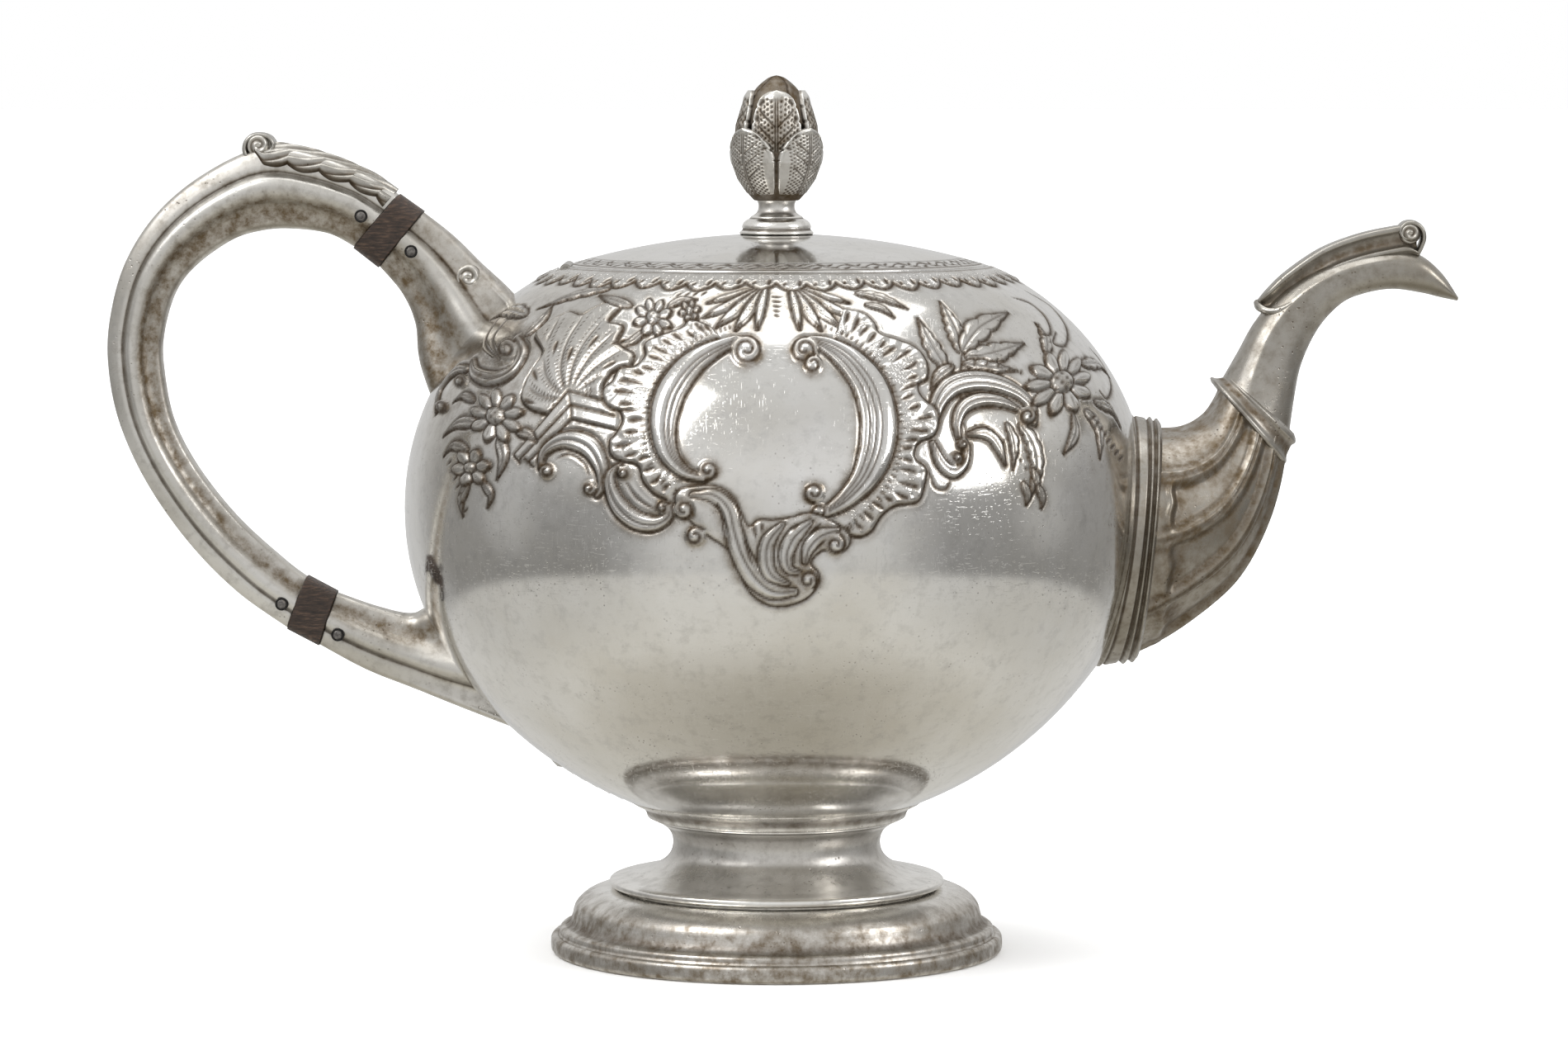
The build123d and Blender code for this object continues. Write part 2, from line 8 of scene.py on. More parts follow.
import bpy
import numpy as np
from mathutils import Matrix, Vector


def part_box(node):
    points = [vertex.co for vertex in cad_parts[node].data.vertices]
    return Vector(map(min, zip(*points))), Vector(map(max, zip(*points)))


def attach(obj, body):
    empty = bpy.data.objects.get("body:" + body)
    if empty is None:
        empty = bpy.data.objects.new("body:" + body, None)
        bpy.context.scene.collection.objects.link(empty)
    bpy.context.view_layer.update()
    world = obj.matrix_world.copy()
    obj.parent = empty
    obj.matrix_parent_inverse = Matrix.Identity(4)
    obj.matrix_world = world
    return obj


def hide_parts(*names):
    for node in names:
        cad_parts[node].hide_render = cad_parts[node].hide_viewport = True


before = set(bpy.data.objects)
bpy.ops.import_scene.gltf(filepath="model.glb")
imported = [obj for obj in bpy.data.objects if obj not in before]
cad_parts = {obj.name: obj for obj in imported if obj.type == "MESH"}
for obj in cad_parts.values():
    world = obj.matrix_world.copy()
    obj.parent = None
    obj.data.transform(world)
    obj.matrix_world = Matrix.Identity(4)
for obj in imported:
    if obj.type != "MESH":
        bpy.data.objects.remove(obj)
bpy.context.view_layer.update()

MM = 0.001
TAU = 2 * math.pi
NEAR_AND_FAR = ((-1, "near"), (1, "far"))  # the side of y that faces the viewer, and the other

# ------------------------------------------------------------------ curves
def curve(points, per_span=14, closed=False):
    """Points along a smooth curve through the given ones."""
    p = np.asarray(points, float)
    n = len(p)
    t = np.linspace(0, 1, per_span, endpoint=False)[:, None]
    spans = []
    for i in range(n if closed else n - 1):
        a = p[(i - 1) % n] if closed else p[max(i - 1, 0)]
        b = p[i]
        c = p[(i + 1) % n]
        d = p[(i + 2) % n] if closed else p[min(i + 2, n - 1)]
        spans.append(
            0.5 * (2 * b + (c - a) * t + (2 * a - 5 * b + 4 * c - d) * t**2 + (3 * b - a - 3 * c + d) * t**3)
        )
    if not closed:
        spans.append(p[-1:])
    return np.vstack(spans)


def lengths(line):
    """Arc length at each point of a line."""
    return np.r_[0, np.cumsum(np.linalg.norm(np.diff(line, axis=0), axis=1))]


def directions(line):
    """Unit vectors along a line, at each of its points."""
    along = np.gradient(line, axis=0)
    return along / np.linalg.norm(along, axis=1)[:, None]


def resample(line, step=None, count=None):
    """The line with evenly spaced points."""
    along = lengths(line)
    count = count or max(int(round(along[-1] / step)), 2) + 1
    at = np.linspace(0, along[-1], count)
    return np.stack([np.interp(at, along, line[:, k]) for k in range(line.shape[1])], 1)


def soften(line, reach, closed=True):
    """Rounds an evenly spaced line by averaging each point with reach neighbours on each side."""
    kernel = np.hanning(2 * reach + 3)[1:-1]
    kernel /= kernel.sum()
    if closed:
        return sum(k * np.roll(line, i - reach, axis=0) for i, k in enumerate(kernel))
    padded = np.vstack([2 * line[0] - line[reach:0:-1], line, 2 * line[-1] - line[-2 : -reach - 2 : -1]])
    return np.stack([np.convolve(padded[:, k], kernel, "valid") for k in range(line.shape[1])], 1)


def profile_loop(segments, step, reach):
    """A closed outline: each segment is smooth, and the corners between segments are slightly rounded."""
    line = np.vstack([curve(s) if len(s) > 2 else np.asarray(s, float) for s in segments])
    line = np.vstack([line, line[:1]])
    keep = np.r_[True, np.linalg.norm(np.diff(line, axis=0), axis=1) > 1e-6]
    even = resample(line[keep], step)[:-1]
    return soften(even, reach) if reach else even


# ------------------------------------------------------------------ meshes
def grid_faces(rows, columns, wrap_columns=True, wrap_rows=False):
    """Quads of a grid whose vertices are numbered row by row."""
    r = np.arange(rows if wrap_rows else rows - 1)[:, None]
    c = np.arange(columns if wrap_columns else columns - 1)[None, :]
    below = (r + 1) % rows
    right = (c + 1) % columns
    quads = np.stack([r * columns + c, r * columns + right, below * columns + right, below * columns + c], -1)
    return quads.reshape(-1, 4)


def signed_volume(points, quads):
    a, b, c, d = (points[quads[:, k]] for k in range(4))
    return (np.einsum("ij,ij->i", a, np.cross(b, c)) + np.einsum("ij,ij->i", a, np.cross(c, d))).sum()


def piece(name, kind, points, faces, replaces=(), attributes=None, closed=True):
    """A mesh object from points in millimetres; kind is the body it rides on, its slot and its material. The
    slot is not used.
    """
    body, slot, material = kind
    if closed and signed_volume(points, faces[0]) < 0:
        faces = [f[:, ::-1] for f in faces]
    mesh = bpy.data.meshes.new(name)
    mesh.vertices.add(len(points))
    mesh.vertices.foreach_set("co", (points * MM).astype(np.float32).ravel())
    corners = np.concatenate([f.ravel() for f in faces])
    sizes = np.concatenate([np.full(len(f), f.shape[1]) for f in faces])
    mesh.loops.add(len(corners))
    mesh.loops.foreach_set("vertex_index", corners.astype(np.int32))
    mesh.polygons.add(len(sizes))
    mesh.polygons.foreach_set("loop_start", np.r_[0, np.cumsum(sizes)[:-1]].astype(np.int32))
    mesh.polygons.foreach_set("use_smooth", np.ones(len(sizes), bool))
    mesh.update(calc_edges=True)
    for key, values in (attributes or {}).items():
        layer = mesh.attributes.new(key, "FLOAT", "POINT")
        layer.data.foreach_set("value", np.asarray(values, np.float32).ravel())
    mesh.validate()
    mesh.materials.append(material)
    obj = bpy.data.objects.new(name, mesh)
    bpy.context.scene.collection.objects.link(obj)
    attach(obj, body)
    if replaces:
        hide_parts(*replaces)
    return obj


def revolved(loop, columns):
    """Vertices of a closed (radius, height) loop turned about Z."""
    angle = np.arange(columns) / columns * TAU
    r, z = loop[:, 0][:, None], loop[:, 1][:, None]
    return np.stack([r * np.cos(angle), r * np.sin(angle), z + 0 * angle], -1).reshape(-1, 3)


def hollows(loop, reach=3):
    """How concave a closed outline is at each point, from 0 to 1."""
    ahead, behind = np.roll(loop, -reach, 0), np.roll(loop, reach, 0)
    t, bend = ahead - behind, ahead + behind - 2 * loop
    area = np.sum(loop[:, 0] * np.roll(loop[:, 1], -1) - np.roll(loop[:, 0], -1) * loop[:, 1])
    size = (t**2).sum(1) + 1e-9
    return np.clip(-np.sign(area) * (t[:, 0] * bend[:, 1] - t[:, 1] * bend[:, 0]) / size * 3.2, 0, 1)


def turned_ring(name, node, body, segments, halo, step=0.3, columns=288):
    """A hollow turned piece from its closed outline, with tarnish in its grooves, and painted shade with
    patina at an even level or one by height, more in the grooves.
    """
    loop = profile_loop(segments, step, 1)
    points = revolved(loop, columns)
    faces = [grid_faces(len(loop), columns, wrap_rows=True)]
    dark = hollows(loop)
    patina_and_shade_level = np.interp(loop[:, 1], *zip(*halo)) if isinstance(halo, tuple) else halo
    marks = {"tarnish": np.repeat(0.8 * dark, columns),
        "halo": np.repeat(np.clip(patina_and_shade_level + 0.5 * dark, 0, 1), columns)}
    return piece(name, (body, "silver_cast", FOOT), points, faces, (node,), marks)


# ------------------------------------------------------------------ materials
def nodes_of(name):
    mat = bpy.data.materials.new(name)
    mat.use_nodes = True
    tree = mat.node_tree
    return mat, tree, tree.nodes["Principled BSDF"]


def link(tree, a, b):
    tree.links.new(a, b)


def texture(tree, kind, scale, stretch=(1, 1, 1), **inputs):
    """A texture node on object coordinates in millimetres, stretched along the axes."""
    coords = tree.nodes.new("ShaderNodeTexCoord")
    mapping = tree.nodes.new("ShaderNodeMapping")
    mapping.inputs["Scale"].default_value = [1000 * s for s in stretch]
    node = tree.nodes.new(kind)
    node.inputs["Scale"].default_value = scale
    for key, value in inputs.items():
        node.inputs[key.replace("_", " ")].default_value = value
    link(tree, coords.outputs["Object"], mapping.inputs["Vector"])
    link(tree, mapping.outputs["Vector"], node.inputs["Vector"])
    return node


def ramp(tree, source, stops):
    """A colour ramp; a stop is a position with a grey level or a colour."""
    node = tree.nodes.new("ShaderNodeValToRGB")
    elements = node.color_ramp.elements
    while len(elements) < len(stops):
        elements.new(0.5)
    for element, (position, colour) in zip(elements, stops):
        element.position = position
        element.color = (*((colour,) * 3 if isinstance(colour, (int, float)) else colour), 1)
    link(tree, source, node.inputs["Fac"])
    return node.outputs["Color"]


def sum_of(tree, a, b, operation="ADD", clamp=False):
    node = tree.nodes.new("ShaderNodeMath")
    node.operation = operation
    node.use_clamp = clamp
    for socket, value in zip(node.inputs, (a, b)):
        if isinstance(value, (int, float)):
            socket.default_value = value
        else:
            link(tree, value, socket)
    return node.outputs["Value"]


def mixed(tree, factor, a, b):
    """A colour between a and b."""
    node = tree.nodes.new("ShaderNodeMix")
    node.data_type = "RGBA"
    link(tree, factor, node.inputs["Factor"])
    for socket, value in ((node.inputs["A"], a), (node.inputs["B"], b)):
        if isinstance(value, tuple):
            socket.default_value = (*value, 1)
        else:
            link(tree, value, socket)
    return node.outputs["Result"]


def attribute(tree, name):
    node = tree.nodes.new("ShaderNodeAttribute")
    node.attribute_name = name
    return node.outputs["Fac"]


def bump(tree, height, distance_mm, strength=1.0, below=None):
    node = tree.nodes.new("ShaderNodeBump")
    node.inputs["Strength"].default_value = strength
    node.inputs["Distance"].default_value = distance_mm * MM
    link(tree, height, node.inputs["Height"])
    if below is not None:
        link(tree, below, node.inputs["Normal"])
    return node.outputs["Normal"]


SILVER = (0.72, 0.71, 0.69)
WARM_SILVER = (0.60, 0.575, 0.52)
GREY_SILVER = (0.52, 0.51, 0.49)
# Darker tones for the cast parts: partly their rougher, browner surface, partly painted shade that dims the
# key light's sheen on them.
CAST_TONES = ((0.44, 0.425, 0.395), (0.33, 0.31, 0.27), (0.27, 0.255, 0.23))
TARNISH = (0.060, 0.040, 0.024)
PATINA_AND_SHADE_BROWN = (0.165, 0.121, 0.072)


def silver(name, roughness, patina, patina_and_shade_weight, pits=0.0, brushed=None, chased=False, scratches=0.5, tones=None):
    """Old silver: patina clouds, brown tarnish in hollows, brown patina mixed with painted shade, scratches,
    pits and, if brushed, turning lines.
    """
    mat, tree, shader = nodes_of(name)
    shader.inputs["Metallic"].default_value = 1.0
    clouds = texture(tree, "ShaderNodeTexNoise", 0.045, Detail=5.0, Roughness=0.6)
    blotches = texture(tree, "ShaderNodeTexNoise", 0.35, Detail=6.0, Roughness=0.7)
    cloud = ramp(tree, clouds.outputs["Fac"], [(0.38, 0.0), (0.68, patina)])
    blotch = ramp(tree, blotches.outputs["Fac"], [(0.50, 0.0), (0.72, patina)])
    bright, warm, grey = tones or (SILVER, WARM_SILVER, GREY_SILVER)
    colour = mixed(tree, cloud, bright, warm)
    colour = mixed(tree, blotch, colour, grey)
    # Brown patina mixed with painted shade from a per-vertex attribute: darker in hollows, beside raised work
    # and where a highlight is damped.
    patina_and_shade_level = attribute(tree, "halo")
    grain = ramp(tree, blotches.outputs["Fac"], [(0.35, 0.35), (0.65, 1.0)])
    patina_and_shade_level = sum_of(tree, sum_of(tree, patina_and_shade_level, grain, "MULTIPLY"), patina_and_shade_weight, "MULTIPLY", True)
    colour = mixed(tree, patina_and_shade_level, colour, PATINA_AND_SHADE_BROWN)
    fine = texture(tree, "ShaderNodeTexNoise", 1.9, Detail=4.0, Roughness=0.75)
    edge = ramp(tree, fine.outputs["Fac"], [(0.30, 0.75), (0.62, 1.0)])
    line = sum_of(tree, attribute(tree, "tarnish"), edge, "MULTIPLY", True)
    colour = mixed(tree, line, colour, TARNISH)
    pit_cells = texture(tree, "ShaderNodeTexVoronoi", 0.9, Randomness=1.0)
    pit_spread = texture(tree, "ShaderNodeTexNoise", 0.12, Detail=3.0)
    pit_size = ramp(tree, pit_cells.outputs["Distance"], [(0.08, 1.0), (0.20, 0.0)])
    pit_zone = ramp(tree, pit_spread.outputs["Fac"], [(0.48, 0.0), (0.62, 1.0)])
    pit = sum_of(tree, sum_of(tree, pit_size, pit_zone, "MULTIPLY"), pits, "MULTIPLY", True)
    colour = mixed(tree, pit, colour, TARNISH)
    link(tree, colour, shader.inputs["Base Color"])
    rough = ramp(tree, blotches.outputs["Fac"], [(0.35, roughness), (0.75, roughness * 1.7)])
    rough = sum_of(tree, rough, sum_of(tree, patina_and_shade_level, 0.22, "MULTIPLY"))
    rough = sum_of(tree, rough, sum_of(tree, line, 0.35, "MULTIPLY"), "ADD", True)
    link(tree, rough, shader.inputs["Roughness"])
    normal = bump(tree, blotches.outputs["Fac"], 0.05, 0.12 if chased else 0.12 + 0.3 * pits)
    for stretch in ((3.0, 0.25, 0.3), (0.3, 0.3, 2.6), (1.1, 0.4, 1.9)):
        hairs = texture(tree, "ShaderNodeTexNoise", 1.4, stretch, Detail=2.0, Roughness=0.4)
        hair = ramp(tree, hairs.outputs["Fac"], [(0.66, 0.0), (0.70, 1.0), (0.74, 0.0)])
        normal = bump(tree, hair, 0.012, scratches * 0.5, normal)
    if brushed:
        lines = texture(tree, "ShaderNodeTexNoise", 1.0, brushed, Detail=6.0, Roughness=0.7)
        normal = bump(tree, lines.outputs["Fac"], 0.06, 0.35, normal)
    if pits:
        normal = bump(tree, pit, -0.12, 0.7, normal)
    if chased:
        dots = texture(tree, "ShaderNodeTexVoronoi", 1.65, Randomness=0.35)
        dot = ramp(tree, dots.outputs["Distance"], [(0.10, 1.0), (0.42, 0.0)])
        punch = sum_of(tree, dot, attribute(tree, "stipple"), "MULTIPLY")
        normal = bump(tree, punch, -0.16, 0.8, normal)
    link(tree, normal, shader.inputs["Normal"])
    return mat


def wood(name):
    """Dark oiled hardwood with fine grain along the handle's run."""
    mat, tree, shader = nodes_of(name)
    grain = texture(tree, "ShaderNodeTexNoise", 0.9, (0.45, 1.0, 3.2), Detail=8.0, Roughness=0.65)
    pores = texture(tree, "ShaderNodeTexNoise", 2.2, (0.5, 1.2, 4.0), Detail=3.0)
    colour = ramp(
        tree, grain.outputs["Fac"], [(0.30, (0.006, 0.004, 0.003)), (0.52, (0.028, 0.016, 0.010)),
        (0.75, (0.095, 0.055, 0.033))]
    )
    link(tree, colour, shader.inputs["Base Color"])
    link(tree, ramp(tree, pores.outputs["Fac"], [(0.35, 0.62), (0.65, 0.38)]), shader.inputs["Roughness"])
    shader.inputs["Specular IOR Level"].default_value = 0.4
    normal = bump(tree, grain.outputs["Fac"], 0.12, 0.6)
    link(tree, bump(tree, pores.outputs["Fac"], 0.08, 0.4, normal), shader.inputs["Normal"])
    return mat


RUST = ((0.35, (0.05, 0.045, 0.042)), (0.6, (0.17, 0.16, 0.15)), (0.8, (0.28, 0.23, 0.18)))


def dull_steel(name, tone=1.0):
    """Oxidised pin heads, and with a lower tone the near-black holes they sit in: grime and painted shade."""
    mat, tree, shader = nodes_of(name)
    shader.inputs["Metallic"].default_value = 0.7
    rust = texture(tree, "ShaderNodeTexNoise", 1.6, Detail=6.0, Roughness=0.7)
    link(
        tree,
        ramp(tree, rust.outputs["Fac"], [(at, tuple(c * tone for c in colour)) for at, colour in RUST]),
        shader.inputs["Base Color"],
    )
    link(tree, ramp(tree, rust.outputs["Fac"], [(0.3, 0.65), (0.7, 0.4)]), shader.inputs["Roughness"])
    link(tree, bump(tree, rust.outputs["Fac"], 0.1, 0.6), shader.inputs["Normal"])
    return mat


POLISHED = silver("polished_silver", 0.085, 0.65, 0.9, pits=0.35, chased=True, scratches=0.9)
CAST = silver("cast_silver", 0.22, 0.9, 1.0, pits=0.8, scratches=0.8, tones=CAST_TONES)
# The foot's silver is lighter than the other silver: painted light for the bright reflections on its trumpet.
FOOT = silver("foot_silver", 0.17, 0.8, 0.9, pits=0.6, brushed=(0.03, 0.03, 1.3), scratches=0.7,
    tones=((0.86, 0.845, 0.81), (0.70, 0.675, 0.63), (0.56, 0.545, 0.515)))
GRIP_SILVER = silver(
    "handle_silver", 0.26, 0.8, 1.0, pits=0.6, scratches=0.7,
    tones=((0.68, 0.665, 0.63), (0.52, 0.50, 0.455), (0.42, 0.405, 0.375)),
)
INSIDE = silver("inside_silver", 0.28, 1.0, 0.6, pits=0.2)
WOOD = wood("dark_hardwood")
STEEL = dull_steel("pin_steel")
HOLE_SHADE_AND_GRIME = dull_steel("pin_hole_shade_and_grime", 0.12)
POT_CAST = ("pot", "silver_cast", CAST)
POT_GRIP = ("pot", "silver_cast", GRIP_SILVER)
LID_CAST = ("lid", "silver_cast", CAST)

# ------------------------------------------------------------------ outline of the pot and its lid
CAMERA_DISTANCE = 1040.0
EYE_HEIGHT = 164.0
CAMERA_TILT = 4.57  # degrees below the horizon
FOCAL_LENGTH = 127.0
SENSOR_WIDTH = 36.0
BELLY_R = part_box("body_shell")[1][1] / MM
POT_ARCS = [
    (39.5, 129.2), (60.3, 112.9), (69.7, 83.0), (67.0, 67.5), (59.1, 53.2), (44.4, 38.3), (26.5, 28.4),
    (19.6, 26.1), (12.0, 24.8),
]
LID_ARC = [(39.2, 129.3), (20.6, 133.5), (0.0, 135.1)]
SKIN = 0.3  # the chased skin stands this far outside the plain shell
HINGE_GAP = 8.95  # half the length of the slot that the skins leave for the hinge


def arc(a, b, c, count):
    """Points on the circle through a, b and c, from a to c."""
    d = 2 * (a[0] * (b[1] - c[1]) + b[0] * (c[1] - a[1]) + c[0] * (a[1] - b[1]))
    sa, sb, sc = (p[0] ** 2 + p[1] ** 2 for p in (a, b, c))
    x = (sa * (b[1] - c[1]) + sb * (c[1] - a[1]) + sc * (a[1] - b[1])) / d
    y = (sa * (c[0] - b[0]) + sb * (a[0] - c[0]) + sc * (b[0] - a[0])) / d
    start, end = (math.atan2(p[1] - y, p[0] - x) for p in (a, c))
    end += TAU * round((start - end) / TAU)
    angle = np.linspace(start, end, count)
    radius = math.hypot(a[0] - x, a[1] - y)
    return np.stack([x + radius * np.cos(angle), y + radius * np.sin(angle)], 1)


def pot_outline():
    """The pot from mouth to floor as an even line without kinks."""
    arcs = [arc(*POT_ARCS[i : i + 3], 200) for i in range(0, len(POT_ARCS) - 2, 2)]
    line = resample(np.vstack([arcs[0]] + [a[1:] for a in arcs[1:]]), 0.1)
    return resample(soften(line, 45, closed=False), 0.1)


def normals_of(line):
    """Unit normals of a (radius, height) line that runs downwards on the outside."""
    along = directions(line)
    return np.stack([-along[:, 1], along[:, 0]], 1)


POT_LINE = pot_outline()
POT_S = lengths(POT_LINE)
LID_LINE = resample(arc(*LID_ARC, 300), 0.1)
LID_S = lengths(LID_LINE)


def pot_radius_at(z):
    return np.interp(z, POT_LINE[::-1, 1], POT_LINE[::-1, 0])


def chart(points):
    """Turns points drawn on the front elevation (x, z) into (u, s) on the pot.

    u is the angle from the front times the belly's radius, s the distance down from the mouth.
    """
    p = np.asarray(points, float)
    x, z = p[:, 0].copy(), p[:, 1].copy()
    y = np.zeros(len(p))
    for _ in range(40):
        r = pot_radius_at(z)
        y_new = -np.sqrt(np.maximum(r**2 - x**2, (0.04 * r) ** 2))
        y = 0.5 * y + 0.5 * y_new
        nearer = (CAMERA_DISTANCE + y) / CAMERA_DISTANCE
        x = p[:, 0] * nearer
        z = EYE_HEIGHT + (p[:, 1] - EYE_HEIGHT) * nearer
    s = np.interp(-z, -POT_LINE[:, 1], POT_S)
    return np.stack([np.arctan2(x, -y) * BELLY_R, s], 1)


# ------------------------------------------------------------------ foot
def make_foot():
    # Each ring has its own level of painted shade with patina: light on the collar, almost none on the
    # trumpet, heavy on the rim wire and on the dome's lower slope.
    collar = [
        [(18.8, 29.0), (26.6, 29.0)],
        [(27.4, 28.9), (27.5, 28.3), (26.9, 27.9)],
        [(26.3, 27.6), (25.2, 27.0), (24.6, 26.1)],
        [(24.5, 25.7), (24.0, 25.3), (18.8, 25.3)],
    ]
    turned_ring("foot_collar_moulding", "foot_collar", "pot", collar, 0.38)
    neck = [
        [(23.5, 25.3), (23.4, 24.9), (22.4, 24.7)],
        [(22.2, 24.4), (20.6, 23.2), (19.7, 21.4), (19.8, 19.2), (21.0, 17.3), (23.6, 15.7), (27.4, 14.5),
        (30.6, 13.9)],
        [(31.4, 13.7), (31.7, 13.2), (31.5, 12.5), (30.9, 12.2)],
        [(30.2, 12.1), (29.0, 12.1)],
        [(26.0, 13.0), (22.4, 14.6), (19.6, 17.2), (18.6, 20.8), (19.2, 23.6), (20.4, 25.3)],
    ]
    turned_ring("foot_trumpet", "foot_neck", "pot", neck, 0.02)
    dome = [
        [(29.6, 12.0), (31.2, 11.9), (33.6, 11.6), (36.2, 10.6), (38.0, 8.9), (38.6, 7.0)],
        [(38.8, 6.3), (39.1, 5.6), (39.9, 4.9)],
        [(40.4, 4.8), (40.9, 4.5), (41.1, 4.0), (41.0, 3.5)],
        [(41.4, 3.2), (41.4, 2.5)],
        [(40.0, 2.6), (38.4, 4.4), (37.5, 6.4), (36.6, 8.2), (34.6, 9.8), (29.6, 10.6)],
    ]
    turned_ring("foot_dome", "foot_base", "pot", dome, ((4.0, 0.95), (9.0, 0.90), (11.2, 0.35), (12.0, 0.1)))
    rim = [
        [(39.7, 0.0), (42.2, 0.0)],
        [(42.6, 0.25), (42.75, 0.8), (42.75, 1.8)],
        [(42.7, 2.5), (42.4, 3.0), (41.9, 3.25)],
        [(41.2, 3.1), (40.9, 2.5), (39.7, 2.4)],
    ]
    turned_ring("foot_rim_wire", "foot_rim", "pot", rim, 1.0, step=0.22, columns=320)


# ------------------------------------------------------------------ castings swept along stations
def stations_at(stations, t):
    """Outer point, inner point and half width at each t in 0..1 along a list of stations."""
    flat = np.array([(*o, *i, w) for o, i, w in stations])
    dense = curve(flat, 24)
    middle = (dense[:, 0:2] + dense[:, 2:4]) / 2
    along = lengths(middle) / lengths(middle)[-1]
    return np.stack([np.interp(t, along, dense[:, k]) for k in range(5)], 1)


def axes_of(at):
    """Middle, half depth and outward direction of each row of outer point, inner point and half width."""
    span = at[:, 0:2] - at[:, 2:4]
    half = np.linalg.norm(span, axis=1) / 2
    return (at[:, 0:2] + at[:, 2:4]) / 2, half, span / (2 * half[:, None])


def section_loop(half, count):
    """A closed section from one side's points: first value towards the outer edge, second across."""
    half = np.asarray(half, float)
    loop = np.vstack([half, np.stack([half[-2:0:-1, 0], -half[-2:0:-1, 1]], 1)])
    return resample(np.vstack([curve(loop, 20, closed=True), loop[:1]]), count=count)[:-1]


def oval(count, power=2.0):
    """A superellipse section; power 2 is an ellipse and more is squarer."""
    a = np.arange(count) / count * TAU
    c, s = np.cos(a), np.sin(a)
    return np.stack([np.sign(c) * abs(c) ** (2 / power), np.sign(s) * abs(s) ** (2 / power)], 1)


def swept(stations, t, sections, offset=0.0):
    """Points of sections carried along stations: rows follow t, columns the section.

    sections is one loop or one per row; offset moves the surface along its own normal, in millimetres.
    """
    at = stations_at(stations, t)
    middle, half, e = axes_of(at)
    loops = np.broadcast_to(sections, (len(t), *np.asarray(sections).shape[-2:]))
    across = loops[..., 0] * half[:, None]
    side = loops[..., 1] * at[:, 4][:, None]
    if np.any(offset):
        da = np.roll(across, -1, 1) - np.roll(across, 1, 1)
        ds = np.roll(side, -1, 1) - np.roll(side, 1, 1)
        size = np.hypot(da, ds) + 1e-9
        across = across + offset * ds / size
        side = side - offset * da / size
    x = middle[:, 0][:, None] + across * e[:, 0][:, None]
    z = middle[:, 1][:, None] + across * e[:, 1][:, None]
    return np.stack([x, side, z], -1)


def tube_piece(name, kind, outer, inner, replaces=(), attributes=None):
    """A hollow casting from an outer and an inner grid of the same size, joined at both ends."""
    rows, columns = outer.shape[:2]
    points = np.vstack([outer.reshape(-1, 3), inner[::-1].reshape(-1, 3)])
    faces = [grid_faces(2 * rows, columns, wrap_rows=True)]
    full = {k: np.concatenate([v.ravel(), np.zeros(rows * columns)]) for k, v in (attributes or {}).items()}
    return piece(name, kind, points, faces, replaces, full)


def solid_piece(name, kind, grid, replaces=(), attributes=None):
    """A solid from a grid of loops, closed by a fan at both ends."""
    rows, columns = grid.shape[:2]
    points = np.vstack([grid.reshape(-1, 3), grid[0].mean(0), grid[-1].mean(0)])
    c = np.arange(columns)
    right = (c + 1) % columns
    first = np.stack([right, c, np.full(columns, rows * columns)], 1)
    last_row = (rows - 1) * columns
    last = np.stack([last_row + c, last_row + right, np.full(columns, rows * columns + 1)], 1)
    quads = grid_faces(rows, columns)
    full = {k: np.concatenate([v.ravel(), [0, 0]]) for k, v in (attributes or {}).items()}
    if signed_volume(points, quads) < 0:
        quads, first, last = quads[:, ::-1], first[:, ::-1], last[:, ::-1]
    return piece(name, kind, points, [quads, first, last], replaces, full, closed=False)


def scroll_curl(name, spine, widths, thickness):
    """A strap curled into a volute: a rounded flat bar swept along a curve in the XZ plane."""
    line = resample(curve(spine, 20), 0.25)
    normal = normals_of(line)
    t = np.linspace(0, 1, len(line))
    half_width = np.interp(t, np.linspace(0, 1, len(widths)), widths)
    half_thick = np.interp(t, np.linspace(0, 1, len(thickness)), thickness)
    loop = oval(36, 3.0)
    offset = loop[None, :, 0] * half_thick[:, None]
    x = line[:, 0][:, None] + offset * normal[:, 0][:, None]
    z = line[:, 1][:, None] + offset * normal[:, 1][:, None]
    y = loop[None, :, 1] * half_width[:, None]
    return solid_piece(name, POT_CAST, np.stack([x, y, z], -1))


def even_marks(shape, tarnish, halo):
    return {"tarnish": np.full(shape, tarnish), "halo": np.full(shape, halo)}


def marks_by_row(tarnish, halo, columns):
    return {"tarnish": np.repeat(tarnish[:, None], columns, 1), "halo": np.repeat(halo[:, None], columns, 1)}


def marks_by_column(tarnish, halo, rows):
    return {"tarnish": np.repeat(tarnish[None], rows, 0), "halo": np.repeat(halo[None], rows, 0)}


def smoothstep(low, high, value):
    t = np.clip((value - low) / (high - low), 0, 1)
    return t * t * (3 - 2 * t)


def bell(distance, width):
    return np.exp(-((distance / width) ** 2))


# ------------------------------------------------------------------ spout
SPOUT_LOWER = [
    ((62.0, 98.6), (58.0, 56.0), 21.0), ((70.6, 98.8), (66.2, 56.2), 21.0),
    ((76.2, 99.2), (77.4, 62.4), 18.2), ((80.1, 101.3), (86.8, 70.6), 14.8),
    ((82.4, 104.5), (92.7, 81.6), 11.8), ((83.8, 108.0), (96.2, 94.9), 8.8),
]
SPOUT_UPPER = [
    ((83.8, 108.0), (96.2, 94.9), 8.8), ((86.8, 113.2), (97.3, 104.0), 6.9),
    ((89.8, 118.6), (98.7, 111.0), 5.9), ((94.2, 123.9), (101.8, 117.6), 5.3),
    ((100.4, 128.2), (106.0, 122.2), 5.0), ((107.4, 131.0), (110.2, 124.1), 4.8),
    ((115.0, 132.3), (115.6, 125.0), 4.6), ((120.4, 131.6), (121.1, 124.3), 4.4),
    ((124.8, 128.2), (124.9, 123.4), 3.6), ((128.0, 123.6), (127.8, 122.8), 2.0),
]
PANEL_LINES_AT_COLLAR = (0.26, 0.45, 0.68, 0.90)
PANEL_LINES_AT_BAND = (0.37, 0.545, 0.69, 0.87)


